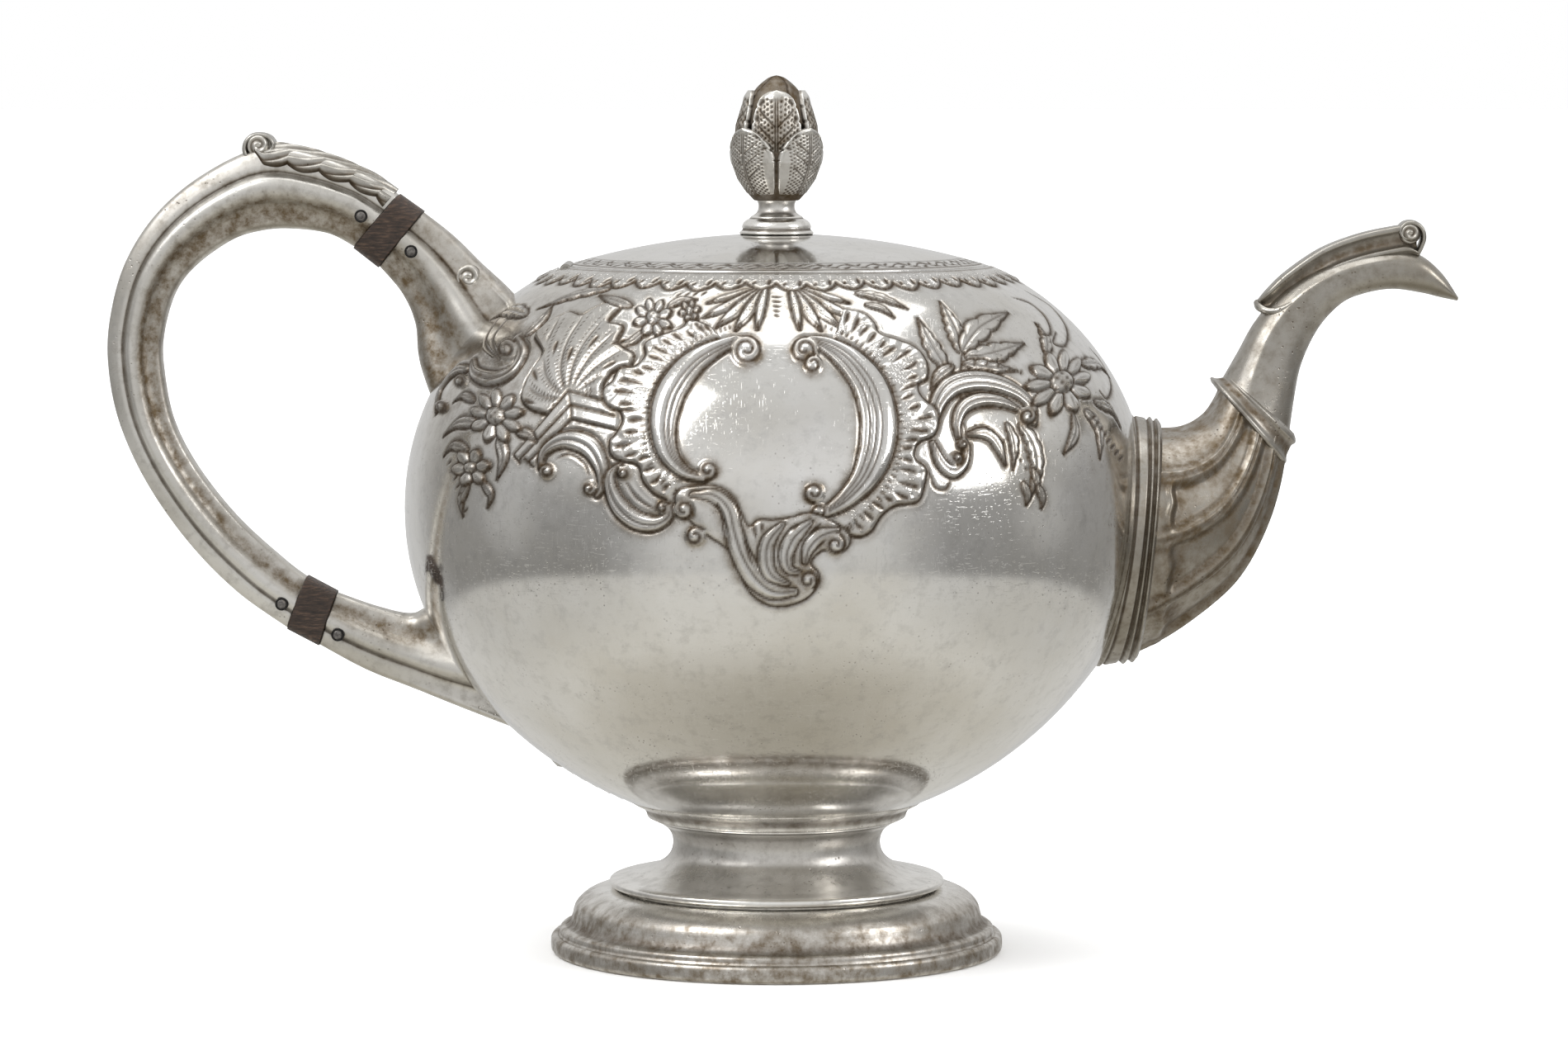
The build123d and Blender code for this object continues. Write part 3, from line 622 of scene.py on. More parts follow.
def spout_lower_relief(t, loop, girth):
    """Ridges and sunk panels of the spout's root: height in millimetres and how dark the hollows are."""
    angle = np.abs(np.arctan2(loop[:, 1], loop[:, 0])) / math.pi
    t = t[:, None]
    share = np.broadcast_to(angle[None, :], (len(t), len(angle)))
    lines = [a + (b - a) * t**0.8 for a, b in zip(PANEL_LINES_AT_COLLAR, PANEL_LINES_AT_BAND)]
    half_turn = girth[:, None] / 2
    height = np.zeros(share.shape)
    dark = np.zeros(share.shape)
    nearest = np.full(share.shape, 99.0)
    for line in lines:
        away = (share - line) * half_turn
        height += 0.95 * bell(away, 1.05) - 0.60 * bell(away - 0.15, 0.30)
        dark = np.maximum(dark, 0.75 * bell(away - 0.15, 0.5))
        dark = np.maximum(dark, 0.65 * bell(np.abs(away) - 1.8, 0.7))
        nearest = np.minimum(nearest, np.abs(away))
    edges = [0 * t] + lines + [1 + 0 * t]
    for low, high in zip(edges[1:-1], edges[2:]):
        across = (share - low) / (high - low)
        bow = np.clip(np.abs(2 * across - 1), 0, 1)
        tongue = 0.295 + 0.045 * bow**5 + 0.016 * bell(across - 0.45, 0.13)
        inside = (across > 0) & (across < 1)
        past = (t - tongue) * 45
        sunk = smoothstep(0.0, 1.6, past) * smoothstep(1.0, 2.4, nearest)
        height -= np.where(inside, 0.95 * sunk * (1 - 0.50 * smoothstep(2, 22, past)), 0)
        rim = bell(past + 0.2, 0.9) * smoothstep(0.6, 2.0, nearest)
        height += np.where(inside, 0.55 * rim, 0)
        dark = np.maximum(dark, np.where(inside, 0.60 * bell(past - 1.6, 1.3) * smoothstep(0.8, 2.2, nearest),
            0))
    fade = smoothstep(0.0, 0.10, t) * (1 - 0.6 * smoothstep(0.88, 1.0, t))
    top = 1 - bell(share, 0.07)
    return height * fade * top, dark * fade * top


def make_spout():
    columns = 252
    t = np.linspace(0, 1, 168)
    loop = oval(columns, 2.15)
    at = stations_at(SPOUT_LOWER, t)
    girth = math.pi * (axes_of(at)[1] + at[:, 4])
    height, dark = spout_lower_relief(t, loop, girth)
    outer = swept(SPOUT_LOWER, t, loop, height)
    inner = swept(SPOUT_LOWER, t, loop, -1.5)
    # Painted shade over the whole root, deeper in its sunk hollows and over its top, where it damps the key
    # light's highlight.
    top_highlight_shade = bell(np.arctan2(loop[:, 1], loop[:, 0]), 0.75)
    marks = {"tarnish": 0.55 * dark, "halo": np.clip(0.66 + dark + 0.34 * top_highlight_shade, 0, 1)}
    tube_piece("spout_root", POT_CAST, outer, inner, ("spout_lower",), marks)

    t = np.linspace(0, 1, 220)
    square = 2.0 + 0.5 * smoothstep(0.0, 0.2, t) * (1 - smoothstep(0.75, 1.0, t))
    loops = np.stack([oval(176, p) for p in square])
    ridge = bell(np.arctan2(np.abs(loops[..., 1]), loops[..., 0]) - 1.15, 0.16) * 0.30
    ridge *= smoothstep(0.02, 0.1, t)[:, None] * (1 - smoothstep(0.6, 0.85, t))[:, None]
    outer = swept(SPOUT_UPPER, t, loops, ridge)
    inner = swept(SPOUT_UPPER, t, loops, -(0.9 - 0.45 * smoothstep(0.8, 1.0, t))[:, None])
    marks = even_marks(outer.shape[:2], 0.0, 0.32)
    tube_piece("spout_neck", POT_CAST, outer, inner, ("spout_upper",), marks)

    band_t = np.linspace(0, 1, 60)
    loop = oval(160, 2.1)
    rows = []
    dark = []
    for turn in band_t:
        along = 4.6 * (turn - 0.5)
        ends = smoothstep(0.0, 0.07, min(turn, 1 - turn))
        bead = (0.35 + 0.55 * bell(turn - 0.17, 0.11) + 0.55 * bell(turn - 0.83, 0.11)) * ends
        rows.append((along, bead))
        dark.append(0.8 * bell(turn - 0.5, 0.17))
    band = spout_band_points(rows, loop)
    dark = np.array(dark)
    # Tarnish and painted shade in the groove between the two beads, and some painted shade all round.
    marks = marks_by_row(dark * 0.5, np.clip(0.25 + dark, 0, 1), len(loop))
    inner = spout_band_points([(a, -1.4) for a, _ in rows], loop)
    tube_piece("spout_double_band", POT_CAST, band, inner, ("spout_band",), marks)
    make_spout_collar()
    make_spout_leaf()


def spout_band_points(rows, loop):
    """Loops of the double moulding, each at a distance along the joint's normal and a height above it."""
    (ox, oz), (ix, iz), width = SPOUT_UPPER[0]
    size = math.hypot(ox - ix, oz - iz)
    e = ((ox - ix) / size, (oz - iz) / size)
    forward = (-e[1], e[0])
    loops = []
    for along, bead in rows:
        taper = 1 - 0.055 * along
        across = loop[:, 0] * (size / 2 * taper + bead)
        side = loop[:, 1] * (width * taper + bead)
        skew = along * (1 - 0.25 * loop[:, 0])
        x = (ox + ix) / 2 + across * e[0] - skew * forward[0]
        z = (oz + iz) / 2 + across * e[1] - skew * forward[1]
        loops.append(np.stack([x, side, z], 1))
    return np.array(loops)


def make_spout_collar():
    """Three-bead moulding that follows the pot behind and stands square to the spout in front."""
    columns = 224
    angle = np.arange(columns) / columns * TAU
    rows = 54
    radius, z_centre = 21.9, 77.6
    y = radius * np.sin(angle)
    z = z_centre + radius * 1.01 * np.cos(angle)
    pot_x = np.sqrt(np.maximum(pot_radius_at(z) ** 2 - y**2, 0))
    front_x = 68.4 + (z - z_centre) * 0.1
    grid = []
    for v in np.linspace(0, 1, rows):
        bead = 0.55 * bell(v - 0.10, 0.07) + 0.40 * smoothstep(0.18, 0.26, v) * smoothstep(0.58, 0.50, v)
        bead += 0.80 * bell(v - 0.69, 0.07) + 0.80 * bell(v - 0.90, 0.07)
        swell = 1.3 * (1 - v) + bead
        x = pot_x - 0.9 + (front_x + 1.6 - pot_x + 0.9) * v
        grid.append(np.stack([x, (radius + swell) * np.sin(angle),
            z_centre + (radius * 1.01 + swell) * np.cos(angle)], 1))
    grid = np.array(grid)
    inner = grid.copy()
    inner[..., 1] *= 0.88
    inner[..., 2] = z_centre + (grid[..., 2] - z_centre) * 0.88
    v = np.linspace(0, 1, rows)
    # Tarnish and painted shade in the grooves between the beads, and some painted shade all over.
    dark = bell(v - 0.19, 0.03) + bell(v - 0.58, 0.035) + bell(v - 0.795, 0.03)
    marks = marks_by_row(0.75 * dark, np.clip(0.45 + 0.5 * dark, 0, 1), columns)
    tube_piece("spout_collar_moulding", POT_CAST, grid, inner, ("spout_collar",), marks)


STRAP = [
    ((90.4, 122.9), (91.8, 120.8), 1.6), ((92.4, 125.2), (95.0, 120.4), 2.8),
    ((95.8, 128.4), (99.0, 122.8), 3.0), ((102.0, 132.6), (104.6, 127.0), 3.0),
    ((108.6, 135.2), (110.0, 129.0), 2.9), ((114.6, 136.6), (115.4, 130.2), 2.9),
    ((117.8, 136.8), (118.6, 130.8), 2.7), ((119.9, 134.4), (120.5, 130.8), 2.4),
]
STRAP_SECTION = [
    (1.0, 0.0), (1.0, 0.55), (0.92, 0.92), (0.72, 0.98), (0.52, 0.80), (0.25, 0.66), (0.0, 0.68),
    (-0.18, 0.86), (-0.30, 1.12), (-0.42, 1.20), (-0.56, 1.10), (-0.75, 0.90), (-1.0, 0.0),
]


def make_spout_leaf():
    """The strap along the spout's top, hollowed at its sides, with a curl at the tip and a pointed root."""
    loop = section_loop(STRAP_SECTION, 96)
    t = np.linspace(0, 1, 170)
    # Tarnish and painted shade in the strap's hollowed sides.
    hollow = np.clip(bell(loop[:, 0] - 0.08, 0.30), 0, 1)
    marks = marks_by_column(0.30 * hollow, 0.15 + 0.7 * hollow, len(t))
    solid_piece("spout_strap", POT_CAST, swept(STRAP, t, loop), ("spout_leaf",), marks)
    curl = [
        (120.2, 131.4), (120.9, 132.9), (121.4, 134.6), (121.0, 136.3), (119.6, 137.4), (117.9, 137.3),
        (116.9, 136.1), (117.4, 134.8), (118.6, 134.5), (119.3, 135.3), (118.9, 136.0),
    ]
    scroll_curl("spout_strap_curl", curl, (2.2, 2.7, 2.9, 2.9, 2.8), (0.5, 0.55, 0.52, 0.46, 0.38))
    drum("spout_strap_volute", (118.7, 135.4), 2.0, 2.3)
    for side, tag in NEAR_AND_FAR:
        boss(f"spout_strap_coil_{tag}", (118.8, side * 2.1, 135.5), 1.9, side)
    for side, tag in NEAR_AND_FAR:
        lip = [(90.4, 0.0, 122.4), (90.9, 2.2, 121.5), (92.4, 3.5, 120.9), (94.6, 4.4, 121.3),
            (97.4, 4.7, 123.0), (100.0, 4.4, 125.4)]
        wire_piece(f"spout_strap_lip_{tag}", curve([(x, side * y, z) for x, y, z in lip], 14), 0.75,
            (0.95, 1.0, 1.0, 0.9, 0.6, 0.3))


def wire_piece(name, line, radius, shares):
    """A round wire along a line in space; shares give its thickness at even steps, as parts of the radius."""
    line = resample(line, 0.4)
    along = directions(line)
    up = np.cross(along, (0.0, 1.0, 0.0))
    up /= np.linalg.norm(up, axis=1)[:, None] + 1e-9
    side = np.cross(along, up)
    columns = 14
    a = np.arange(columns) / columns * TAU
    t = np.linspace(0, 1, len(line))
    r = radius * np.interp(t, np.linspace(0, 1, len(shares)), shares)
    ring = np.cos(a)[None, :, None] * up[:, None] + np.sin(a)[None, :, None] * side[:, None]
    grid = line[:, None] + ring * r[:, None, None]
    marks = even_marks(grid.shape[:2], 0.0, 0.15)
    return solid_piece(name, POT_CAST, grid, (), marks)


def loops_across(outline, x, z, count):
    """Loops of a rod along Y around (x, z), one for each (radius, y) of its outline."""
    turn = np.arange(count) / count * TAU
    return np.array([np.stack([x + r * np.cos(turn), np.full(count, y), z + r * np.sin(turn)], 1) for r,
        y in outline])


def drum(name, centre, radius, half_width, halo=0.6):
    """The filling of a volute: a short rod across the casting with eased rims."""
    rim = [(0.02, -half_width), (radius - 0.35, -half_width), (radius - 0.1, -half_width + 0.1),
        (radius, -half_width + 0.4)]
    rim = rim + [(r, -y) for r, y in rim[::-1]]
    grid = loops_across(rim, *centre, 48)
    # An even tarnish, and painted shade with patina at the given level, for the filling sunk between the
    # curl's walls.
    marks = even_marks(grid.shape[:2], 0.15, halo)
    return solid_piece(name, POT_CAST, grid, (), marks)


# ------------------------------------------------------------------ handle
GRIP = [
    ((-70.8, 142.6), (-79.2, 132.9), 5.6), ((-76.7, 146.6), (-84.1, 135.4), 5.9),
    ((-86.9, 150.5), (-90.8, 136.3), 6.2), ((-96.6, 151.5), (-96.3, 136.0), 6.3),
    ((-107.4, 146.6), (-102.2, 134.2), 6.2), ((-116.3, 139.2), (-109.0, 129.4), 6.0),
    ((-122.4, 129.7), (-113.0, 124.1), 5.8), ((-125.3, 119.1), (-115.2, 116.3), 5.6),
    ((-125.6, 110.1), (-115.2, 109.8), 5.5), ((-123.6, 99.8), (-113.4, 100.5), 5.4),
    ((-118.6, 88.6), (-109.0, 91.7), 5.3), ((-110.9, 77.4), (-101.5, 82.1), 5.2),
    ((-101.9, 68.1), (-92.7, 74.0), 5.1), ((-92.2, 61.1), (-88.5, 70.8), 5.0),
]
UPPER_SOCKET = [
    ((-66.3, 139.4), (-74.6, 129.3), 5.6), ((-60.8, 135.1), (-70.4, 124.3), 5.9),
    ((-55.4, 129.8), (-67.9, 118.6), 7.2), ((-50.2, 124.9), (-66.8, 110.6), 9.6),
    ((-43.0, 117.0), (-62.0, 98.0), 12.6),
]
LOWER_SOCKET = [
    ((-86.3, 58.0), (-82.9, 67.8), 5.0), ((-77.4, 53.2), (-75.8, 65.3), 5.2),
    ((-67.8, 49.4), (-69.3, 63.8), 6.0), ((-58.2, 45.6), (-65.8, 65.0), 7.6),
    ((-46.0, 41.0), (-58.0, 68.0), 9.6),
]
PINS = {
    "upper_grip_side_pin": (-77.6, 138.8), "upper_socket_side_pin": (-68.3, 132.2),
    "lower_grip_side_pin": (-93.0, 66.0), "lower_socket_side_pin": (-82.5, 60.2),
}
HANDLE_SECTION = [
    (1.0, 0.0), (0.985, 0.34), (0.90, 0.56), (0.62, 0.70), (0.44, 0.735), (0.385, 0.69), (0.33, 0.76),
    (0.22, 0.93), (0.06, 1.0), (-0.12, 0.97), (-0.26, 0.86), (-0.38, 0.70), (-0.55, 0.585), (-0.74, 0.53),
    (-0.88, 0.46), (-0.97, 0.30), (-1.0, 0.0),
]
HANDLE_ACROSS, HANDLE_WIDE = np.array(HANDLE_SECTION)[::-1].T


def handle_marks(loops, rows, shade=0.0):
    """Tarnish lies in the step and in the hollow of the handle's section; painted shade with patina darkens
    the hollow, and shade adds more of it away from the section's widest part.
    """
    hollow = 0.95 * bell(loops[:, 0] + 0.50, 0.30) + 0.5 * bell(loops[:, 0] - 0.40, 0.06)
    halo = np.clip(hollow + 0.03 + shade * (1 - 0.8 * bell(loops[:, 0] - 0.12, 0.16)), 0, 1)
    line = 0.75 * bell(loops[:, 0] - 0.385, 0.028)
    return marks_by_column(line, halo, rows)


def make_handle():
    loop = section_loop(HANDLE_SECTION, 200)
    t = np.linspace(0, 1, 420)
    grip = swept(GRIP, t, loop)
    marks = handle_marks(loop, len(t))
    # Painted shade: deeper in the hollow along the upper grip, and on the outer side near the top, where it
    # damps the key light's highlight.
    upper_hollow_shade = 0.75 * bell(loop[:, 0] + 0.55, 0.42)[None, :] * smoothstep(0.80, 0.50, t)[:, None]
    back = 0.40 * bell(loop[:, 0] - 0.75, 0.40)[None, :] * bell(t - 0.30, 0.22)[:, None]
    marks["halo"] = np.clip(marks["halo"] + upper_hollow_shade + back, 0, 1)
    solid_piece("grip_scroll", POT_GRIP, grip, ("handle_grip",), marks)
    t = np.linspace(0, 1, 110)
    wide = smoothstep(0.25, 0.95, t)[:, None, None]
    flare = section_loop(
        [
            (1.0, 0.0), (0.99, 0.36), (0.95, 0.60), (0.88, 0.70), (0.80, 0.64), (0.62, 0.58), (0.48, 0.60),
            (0.42, 0.70), (0.34, 0.86), (0.20, 0.94), (0.05, 0.90), (-0.12, 0.77), (-0.32, 0.68),
            (-0.55, 0.68), (-0.78, 0.74), (-0.93, 0.64), (-1.0, 0.36), (-1.02, 0.0),
        ],
        200,
    )
    for name, stations, node, shade in (
        ("upper_socket_root", UPPER_SOCKET, "upper_socket", 0.55),
        ("lower_socket_root", LOWER_SOCKET, "lower_socket", 0.12)
    ):
        loops = loop[None] * (1 - wide) + flare[None] * wide
        grid = swept(stations, t, loops)
        solid_piece(name, POT_GRIP, grid, (node,), handle_marks(loop, len(t), shade))
    for side, tag in NEAR_AND_FAR:
        boss(f"upper_socket_boss_{tag}", (-57.6, side * 4.3, 127.4), 2.4, side)
    make_thumb_leaf()
    make_pins()
    insulator_block("upper_insulator", UPPER_SOCKET[0], GRIP[0])
    insulator_block("lower_insulator", LOWER_SOCKET[0], GRIP[-1])


def insulator_block(node, socket_end, grip_end):
    """A wooden block between a socket's end and the grip's end, a little proud of both castings."""
    block = oval(144, 3.2)
    swell, widen = 1.045, 1.03
    ends = [np.array([*outer, *inner, width]) for outer, inner, width in (socket_end, grip_end)]
    rows = []
    for share in np.linspace(0, 1, 40):
        at = ends[0] * (1 - share) + ends[1] * share
        middle, half = (at[0:2] + at[2:4]) / 2, (at[0:2] - at[2:4]) / 2
        x = middle[0] + block[:, 0] * half[0] * swell
        z = middle[1] + block[:, 0] * half[1] * swell
        rows.append(np.stack([x, block[:, 1] * at[4] * widen, z], 1))
    solid_piece(node + "_block", ("pot", "insulator_wood", WOOD), np.array(rows), (node,))


def make_pins():
    """Riveted pin heads, each a slim rod through the casting with slightly domed ends."""
    for node, (x, z) in PINS.items():
        half = 6.12 if node.startswith("upper") else 5.42
        outline = [(0.02, -half - 0.10), (0.55, -half - 0.05), (0.9, -half + 0.12), (0.98, -half + 0.4),
            (0.98, 0.0)]
        outline = outline + [(r, -y) for r, y in outline[-2::-1]]
        solid_piece(node + "_rivet", ("pot", "pin_steel", STEEL), loops_across(outline, x, z, 32), (node,))
        # A near-black sleeve round each pin stands for its hole: painted shade and grime.
        end = half - 0.06
        sleeve = [(0.90, -end), (1.16, -end), (1.22, -end + 0.08), (1.22, end - 0.08), (1.16, end),
            (0.90, end)]
        grid = loops_across(sleeve, x, z, 32)
        faces = grid_faces(len(sleeve), 32, wrap_rows=True)
        piece(node + "_hole_rim", ("pot", "pin_steel", HOLE_SHADE_AND_GRIME), grid.reshape(-1, 3), [faces])


def boss(name, centre, radius, side):
    """A low domed disc with a coiled edge, lying on the side of a casting."""
    columns, sunk_end = 64, -1.6
    turn = np.arange(columns) / columns * TAU
    rows = []
    for share in np.linspace(0, 1, 26):
        reach = radius * math.sin(share * math.pi / 2) + 0.02
        rows.append(np.stack([reach * np.cos(turn), reach * np.sin(turn), np.full(columns, reach)], 1))
    disc = np.array(rows)
    theta = np.arctan2(disc[..., 1], disc[..., 0]) % TAU
    coil = np.cos(TAU * (disc[..., 2] / radius * 1.6 - theta / TAU))
    height = 0.95 * np.sqrt(np.clip(1 - (disc[..., 2] / radius) ** 4, 0, 1)) + 0.22 * coil * smoothstep(0.1,
        0.5, disc[..., 2])
    # Tarnish and painted shade in the coil's groove.
    dark = np.clip(-coil, 0, 1) ** 2 * smoothstep(0.1, 0.5, disc[..., 2])
    skirt = disc[-1:].copy()
    x = np.concatenate([disc[..., 0], skirt[..., 0], 0.01 * skirt[..., 0]]) + centre[0]
    z = np.concatenate([disc[..., 1], skirt[..., 1], 0.01 * skirt[..., 1]]) + centre[2]
    y = centre[1] + side * np.concatenate([height, np.full((2, columns), sunk_end)])
    pad = np.zeros((2, columns))
    marks = {"tarnish": np.concatenate([0.7 * dark, pad]),
        "halo": np.concatenate([0.3 + 0.5 * dark, pad + 0.5])}
    return solid_piece(name, POT_GRIP, np.stack([x, y, z], -1), (), marks)


def make_thumb_leaf():
    """Fluted leaf over the grip's back behind the wooden break, with a curl to rest the thumb on."""
    rows, columns = 230, 121
    t = np.linspace(0.006, 0.198, rows)
    at = stations_at(GRIP, t)
    middle, half, e = axes_of(at)
    side = np.linspace(-1, 1, columns)
    off = np.abs(side)
    along = lengths(middle)
    run = along[-1]
    scallop = np.abs(np.sin(math.pi * (along / 5.2 - 2.4))) ** 0.8
    depth = (0.40 + 0.13 * scallop) * smoothstep(0, 0.10, 1 - along / run)
    depth = np.maximum(depth, 0.05) * (1 - 0.25 * smoothstep(0.75, 1, along / run))
    grid, under, dark = [], [], []
    for i in range(rows):
        down = depth[i] * off ** 2.0
        width = np.interp(1 - down, HANDLE_ACROSS, HANDLE_WIDE) * at[i, 4]
        width = width * np.minimum(1, off * 1.35)
        phase = along[i] / 5.2 - 3.2 * off ** 1.05 + 0.8
        flute = np.abs(np.sin(math.pi * phase)) ** 0.9
        lip = bell(off - 0.93, 0.08)
        rib = bell(side, 0.10)
        rise = 0.30 + 0.62 * flute * (1 - 0.4 * rib) + 0.20 * rib + 0.25 * lip
        rise *= smoothstep(-0.01, 0.05, 1 - off) * 0.75 + 0.25
        across = (1 - down) * half[i]
        lift = rise * (1 - 0.6 * off ** 2)
        y = np.sign(side) * (width + rise * off * 0.8)
        x, z = (middle[i, k] + (across + lift) * e[i, k] for k in (0, 1))
        grid.append(np.stack([x, y, z], 1))
        x, z = (middle[i, k] + (across - 0.6) * e[i, k] for k in (0, 1))
        under.append(np.stack([x, np.sign(side) * np.maximum(width - 0.6, 0), z], 1))
        dark.append(np.clip((1 - flute) ** 2.2 * (1 - 0.5 * rib) + 0.8 * smoothstep(0.90, 1.0, off), 0, 1))
    # Tarnish and painted shade in the flutes' valleys and at the blade's turned-down edges.
    marks = {"tarnish": 0.9 * np.array(dark), "halo": np.clip(0.05 + 0.9 * np.array(dark), 0, 1)}
    slab("thumb_leaf_blade", POT_CAST, np.array(grid), np.array(under), ("thumb_leaf",), marks)
    curl = [
        (-98.6, 149.2), (-99.5, 150.8), (-99.3, 152.5), (-98.1, 153.7), (-96.5, 153.9), (-95.0, 153.4),
        (-94.2, 152.2), (-94.7, 151.1), (-96.0, 150.8), (-96.9, 151.6), (-96.6, 152.4), (-95.9, 152.5),
    ]
    scroll_curl("thumb_leaf_curl", curl, (3.6, 3.5, 3.4, 3.3, 3.2), (0.6, 0.55, 0.50, 0.45, 0.38))
    drum("thumb_leaf_volute", (-96.8, 151.9), 2.3, 2.9, 0.05)
    for side, tag in NEAR_AND_FAR:
        boss(f"thumb_leaf_coil_{tag}", (-96.9, side * 2.75, 151.9), 2.15, side)


def slab(name, kind, top, under, replaces=(), attributes=None):
    """A sheet with thickness from two open grids of the same size."""
    rows, columns = top.shape[:2]
    count = rows * columns
    points = np.vstack([top.reshape(-1, 3), under.reshape(-1, 3)])
    front = grid_faces(rows, columns, wrap_columns=False)
    index = np.arange(count).reshape(rows, columns)
    edge = np.r_[index[0, :-1], index[:-1, -1], index[-1, :0:-1], index[:0:-1, 0]]
    following = np.roll(edge, -1)
    walls = np.stack([following, edge, edge + count, following + count], 1)
    faces = np.vstack([front, front[:, ::-1] + count, walls])
    full = {k: np.concatenate([v.ravel(), np.zeros(count)]) for k, v in (attributes or {}).items()}
    return piece(name, kind, points, [faces], replaces, full)


# ------------------------------------------------------------------ finial
LEAF_SHAPE = {
    "lower": dict(z=(141.6, 155.2), radius=[(3.5, 0.0), (5.6, 0.11), (7.25, 0.30), (8.35, 0.52), (8.6, 0.74),
    (8.5, 0.88), (8.1, 1.0)]),
    "upper": dict(z=(143.0, 162.2), radius=[(4.0, 0.0), (6.4, 0.25), (7.5, 0.5), (7.25, 0.66), (6.45, 0.80),
    (5.6, 0.92), (4.4, 1.0)]),
}
LEAF_CURL = 0.25  # how far a leaf's tip turns outwards
LEAF_TIPS = {
    "lower": ([0.0, 0.57, 0.66, 0.74, 0.84, 0.92, 0.97, 1.0], [1.0, 1.0, 0.94, 0.85, 0.70, 0.48, 0.26, 0.04]),
    "upper": ([0.0, 0.76, 0.86, 0.92, 0.96, 0.985, 1.0], [1.0, 1.0, 0.95, 0.85, 0.68, 0.46, 0.08]),
}


def bud_leaf(name, kind, centre, half_angle, proud, shade):
    """One leaf of the bud: rounded tip and smooth rim, midrib, forked veins, dotted rows and small nicks."""
    rows, columns = 120, 91
    shape = LEAF_SHAPE[kind]
    low, high = shape["z"]
    r_table = np.array(shape["radius"])
    v = np.linspace(0, 1, rows)[:, None]
    u = np.linspace(-1, 1, columns)[None, :]
    a = np.abs(u)
    radius = np.interp(v, r_table[:, 1], r_table[:, 0]) + proud
    tip = np.interp(v, *LEAF_TIPS[kind])
    nick = 1 - 0.07 * np.clip(np.cos(TAU * (v * 7 + 0.12)), 0, 1) ** 6 * smoothstep(0.5, 0.6,
        v) * smoothstep(0.95, 0.85, v)
    width = half_angle * (0.90 + 0.10 * smoothstep(0, 0.2, v)) * tip
    angle = centre + u * width * nick
    across = u * width * radius
    rim = np.maximum(smoothstep(0.80, 0.92, a) * smoothstep(0.45, 0.6, v), smoothstep(0.90, 0.96, v))
    rib = bell(np.abs(across) - 0.22, 0.16) * smoothstep(0.95, 0.85, v)
    forks = 0 * angle
    for base in (0.30, 0.48, 0.64):
        away = np.abs(across) - 0.2
        forks = np.maximum(forks, bell(v - base - 0.055 * away, 0.012) * smoothstep(3.6, 2.6,
            away) * (away > 0))
    dots = np.zeros(angle.shape)
    for row in (0.9, 1.7, 2.5, 3.3, 4.1, 4.9):
        dots = np.maximum(dots, bell(np.abs(across) - row * (0.55 + 0.45 * v),
            0.21) * np.clip(np.sin(v * 125 + row * 4) + 0.45, 0, 1))
    dots = dots * (1 - rim) * smoothstep(0.04, 0.12, v) * (1 - forks)
    holes = bell(np.hypot(a - 0.80, (v - 0.72) * 3.2), 0.09) + bell(np.hypot(a - 0.74, (v - 0.88) * 3.2),
        0.08)
    belly = 0.55 * (1 - a**2.2) * smoothstep(0.0, 0.3, v) + LEAF_CURL * smoothstep(0.80, 1.0, v) ** 2
    relief = belly + 0.20 * rim - 0.24 * rib - 0.24 * forks - 0.16 * dots - 0.30 * holes - 0.35 * smoothstep(
        0.93, 1.0, a)
    z = low + (high - low) * v + 0 * u
    r = radius + relief
    top = np.stack([r * np.sin(angle), -r * np.cos(angle), z + 0 * angle], -1)
    r_in = np.minimum(r - 0.45, radius - 0.55)
    under = np.stack([r_in * np.sin(angle), -r_in * np.cos(angle), z - 0.05 + 0 * angle], -1)
    # Painted shade with patina at the leaf's base, where it tucks under, and at its turned-down edges, more
    # along the lines and less on the raised rim; shade adds more over the leaf away from the rim.
    base_dark = 0.6 * (1 - smoothstep(0.0, 0.22, v)) + 0 * u
    edge_dark = smoothstep(0.93, 1.0, a) + 0 * v
    lines = np.maximum(np.maximum(0.85 * rib, 0.85 * forks),
        np.maximum(0.9 * dots, 0.9 * np.clip(holes, 0, 1)))
    marks = {
        "tarnish": np.clip(lines + 0.5 * edge_dark + 0.2 * base_dark, 0, 1),
        "halo": np.clip(0.12 + shade * (1 - rim) + 0.45 * lines + base_dark + 0.7 * edge_dark - 0.25 * rim, 0,
        1),
    }
    return slab(name, ("lid", "silver_cast", GRIP_SILVER), top, under, (), marks)


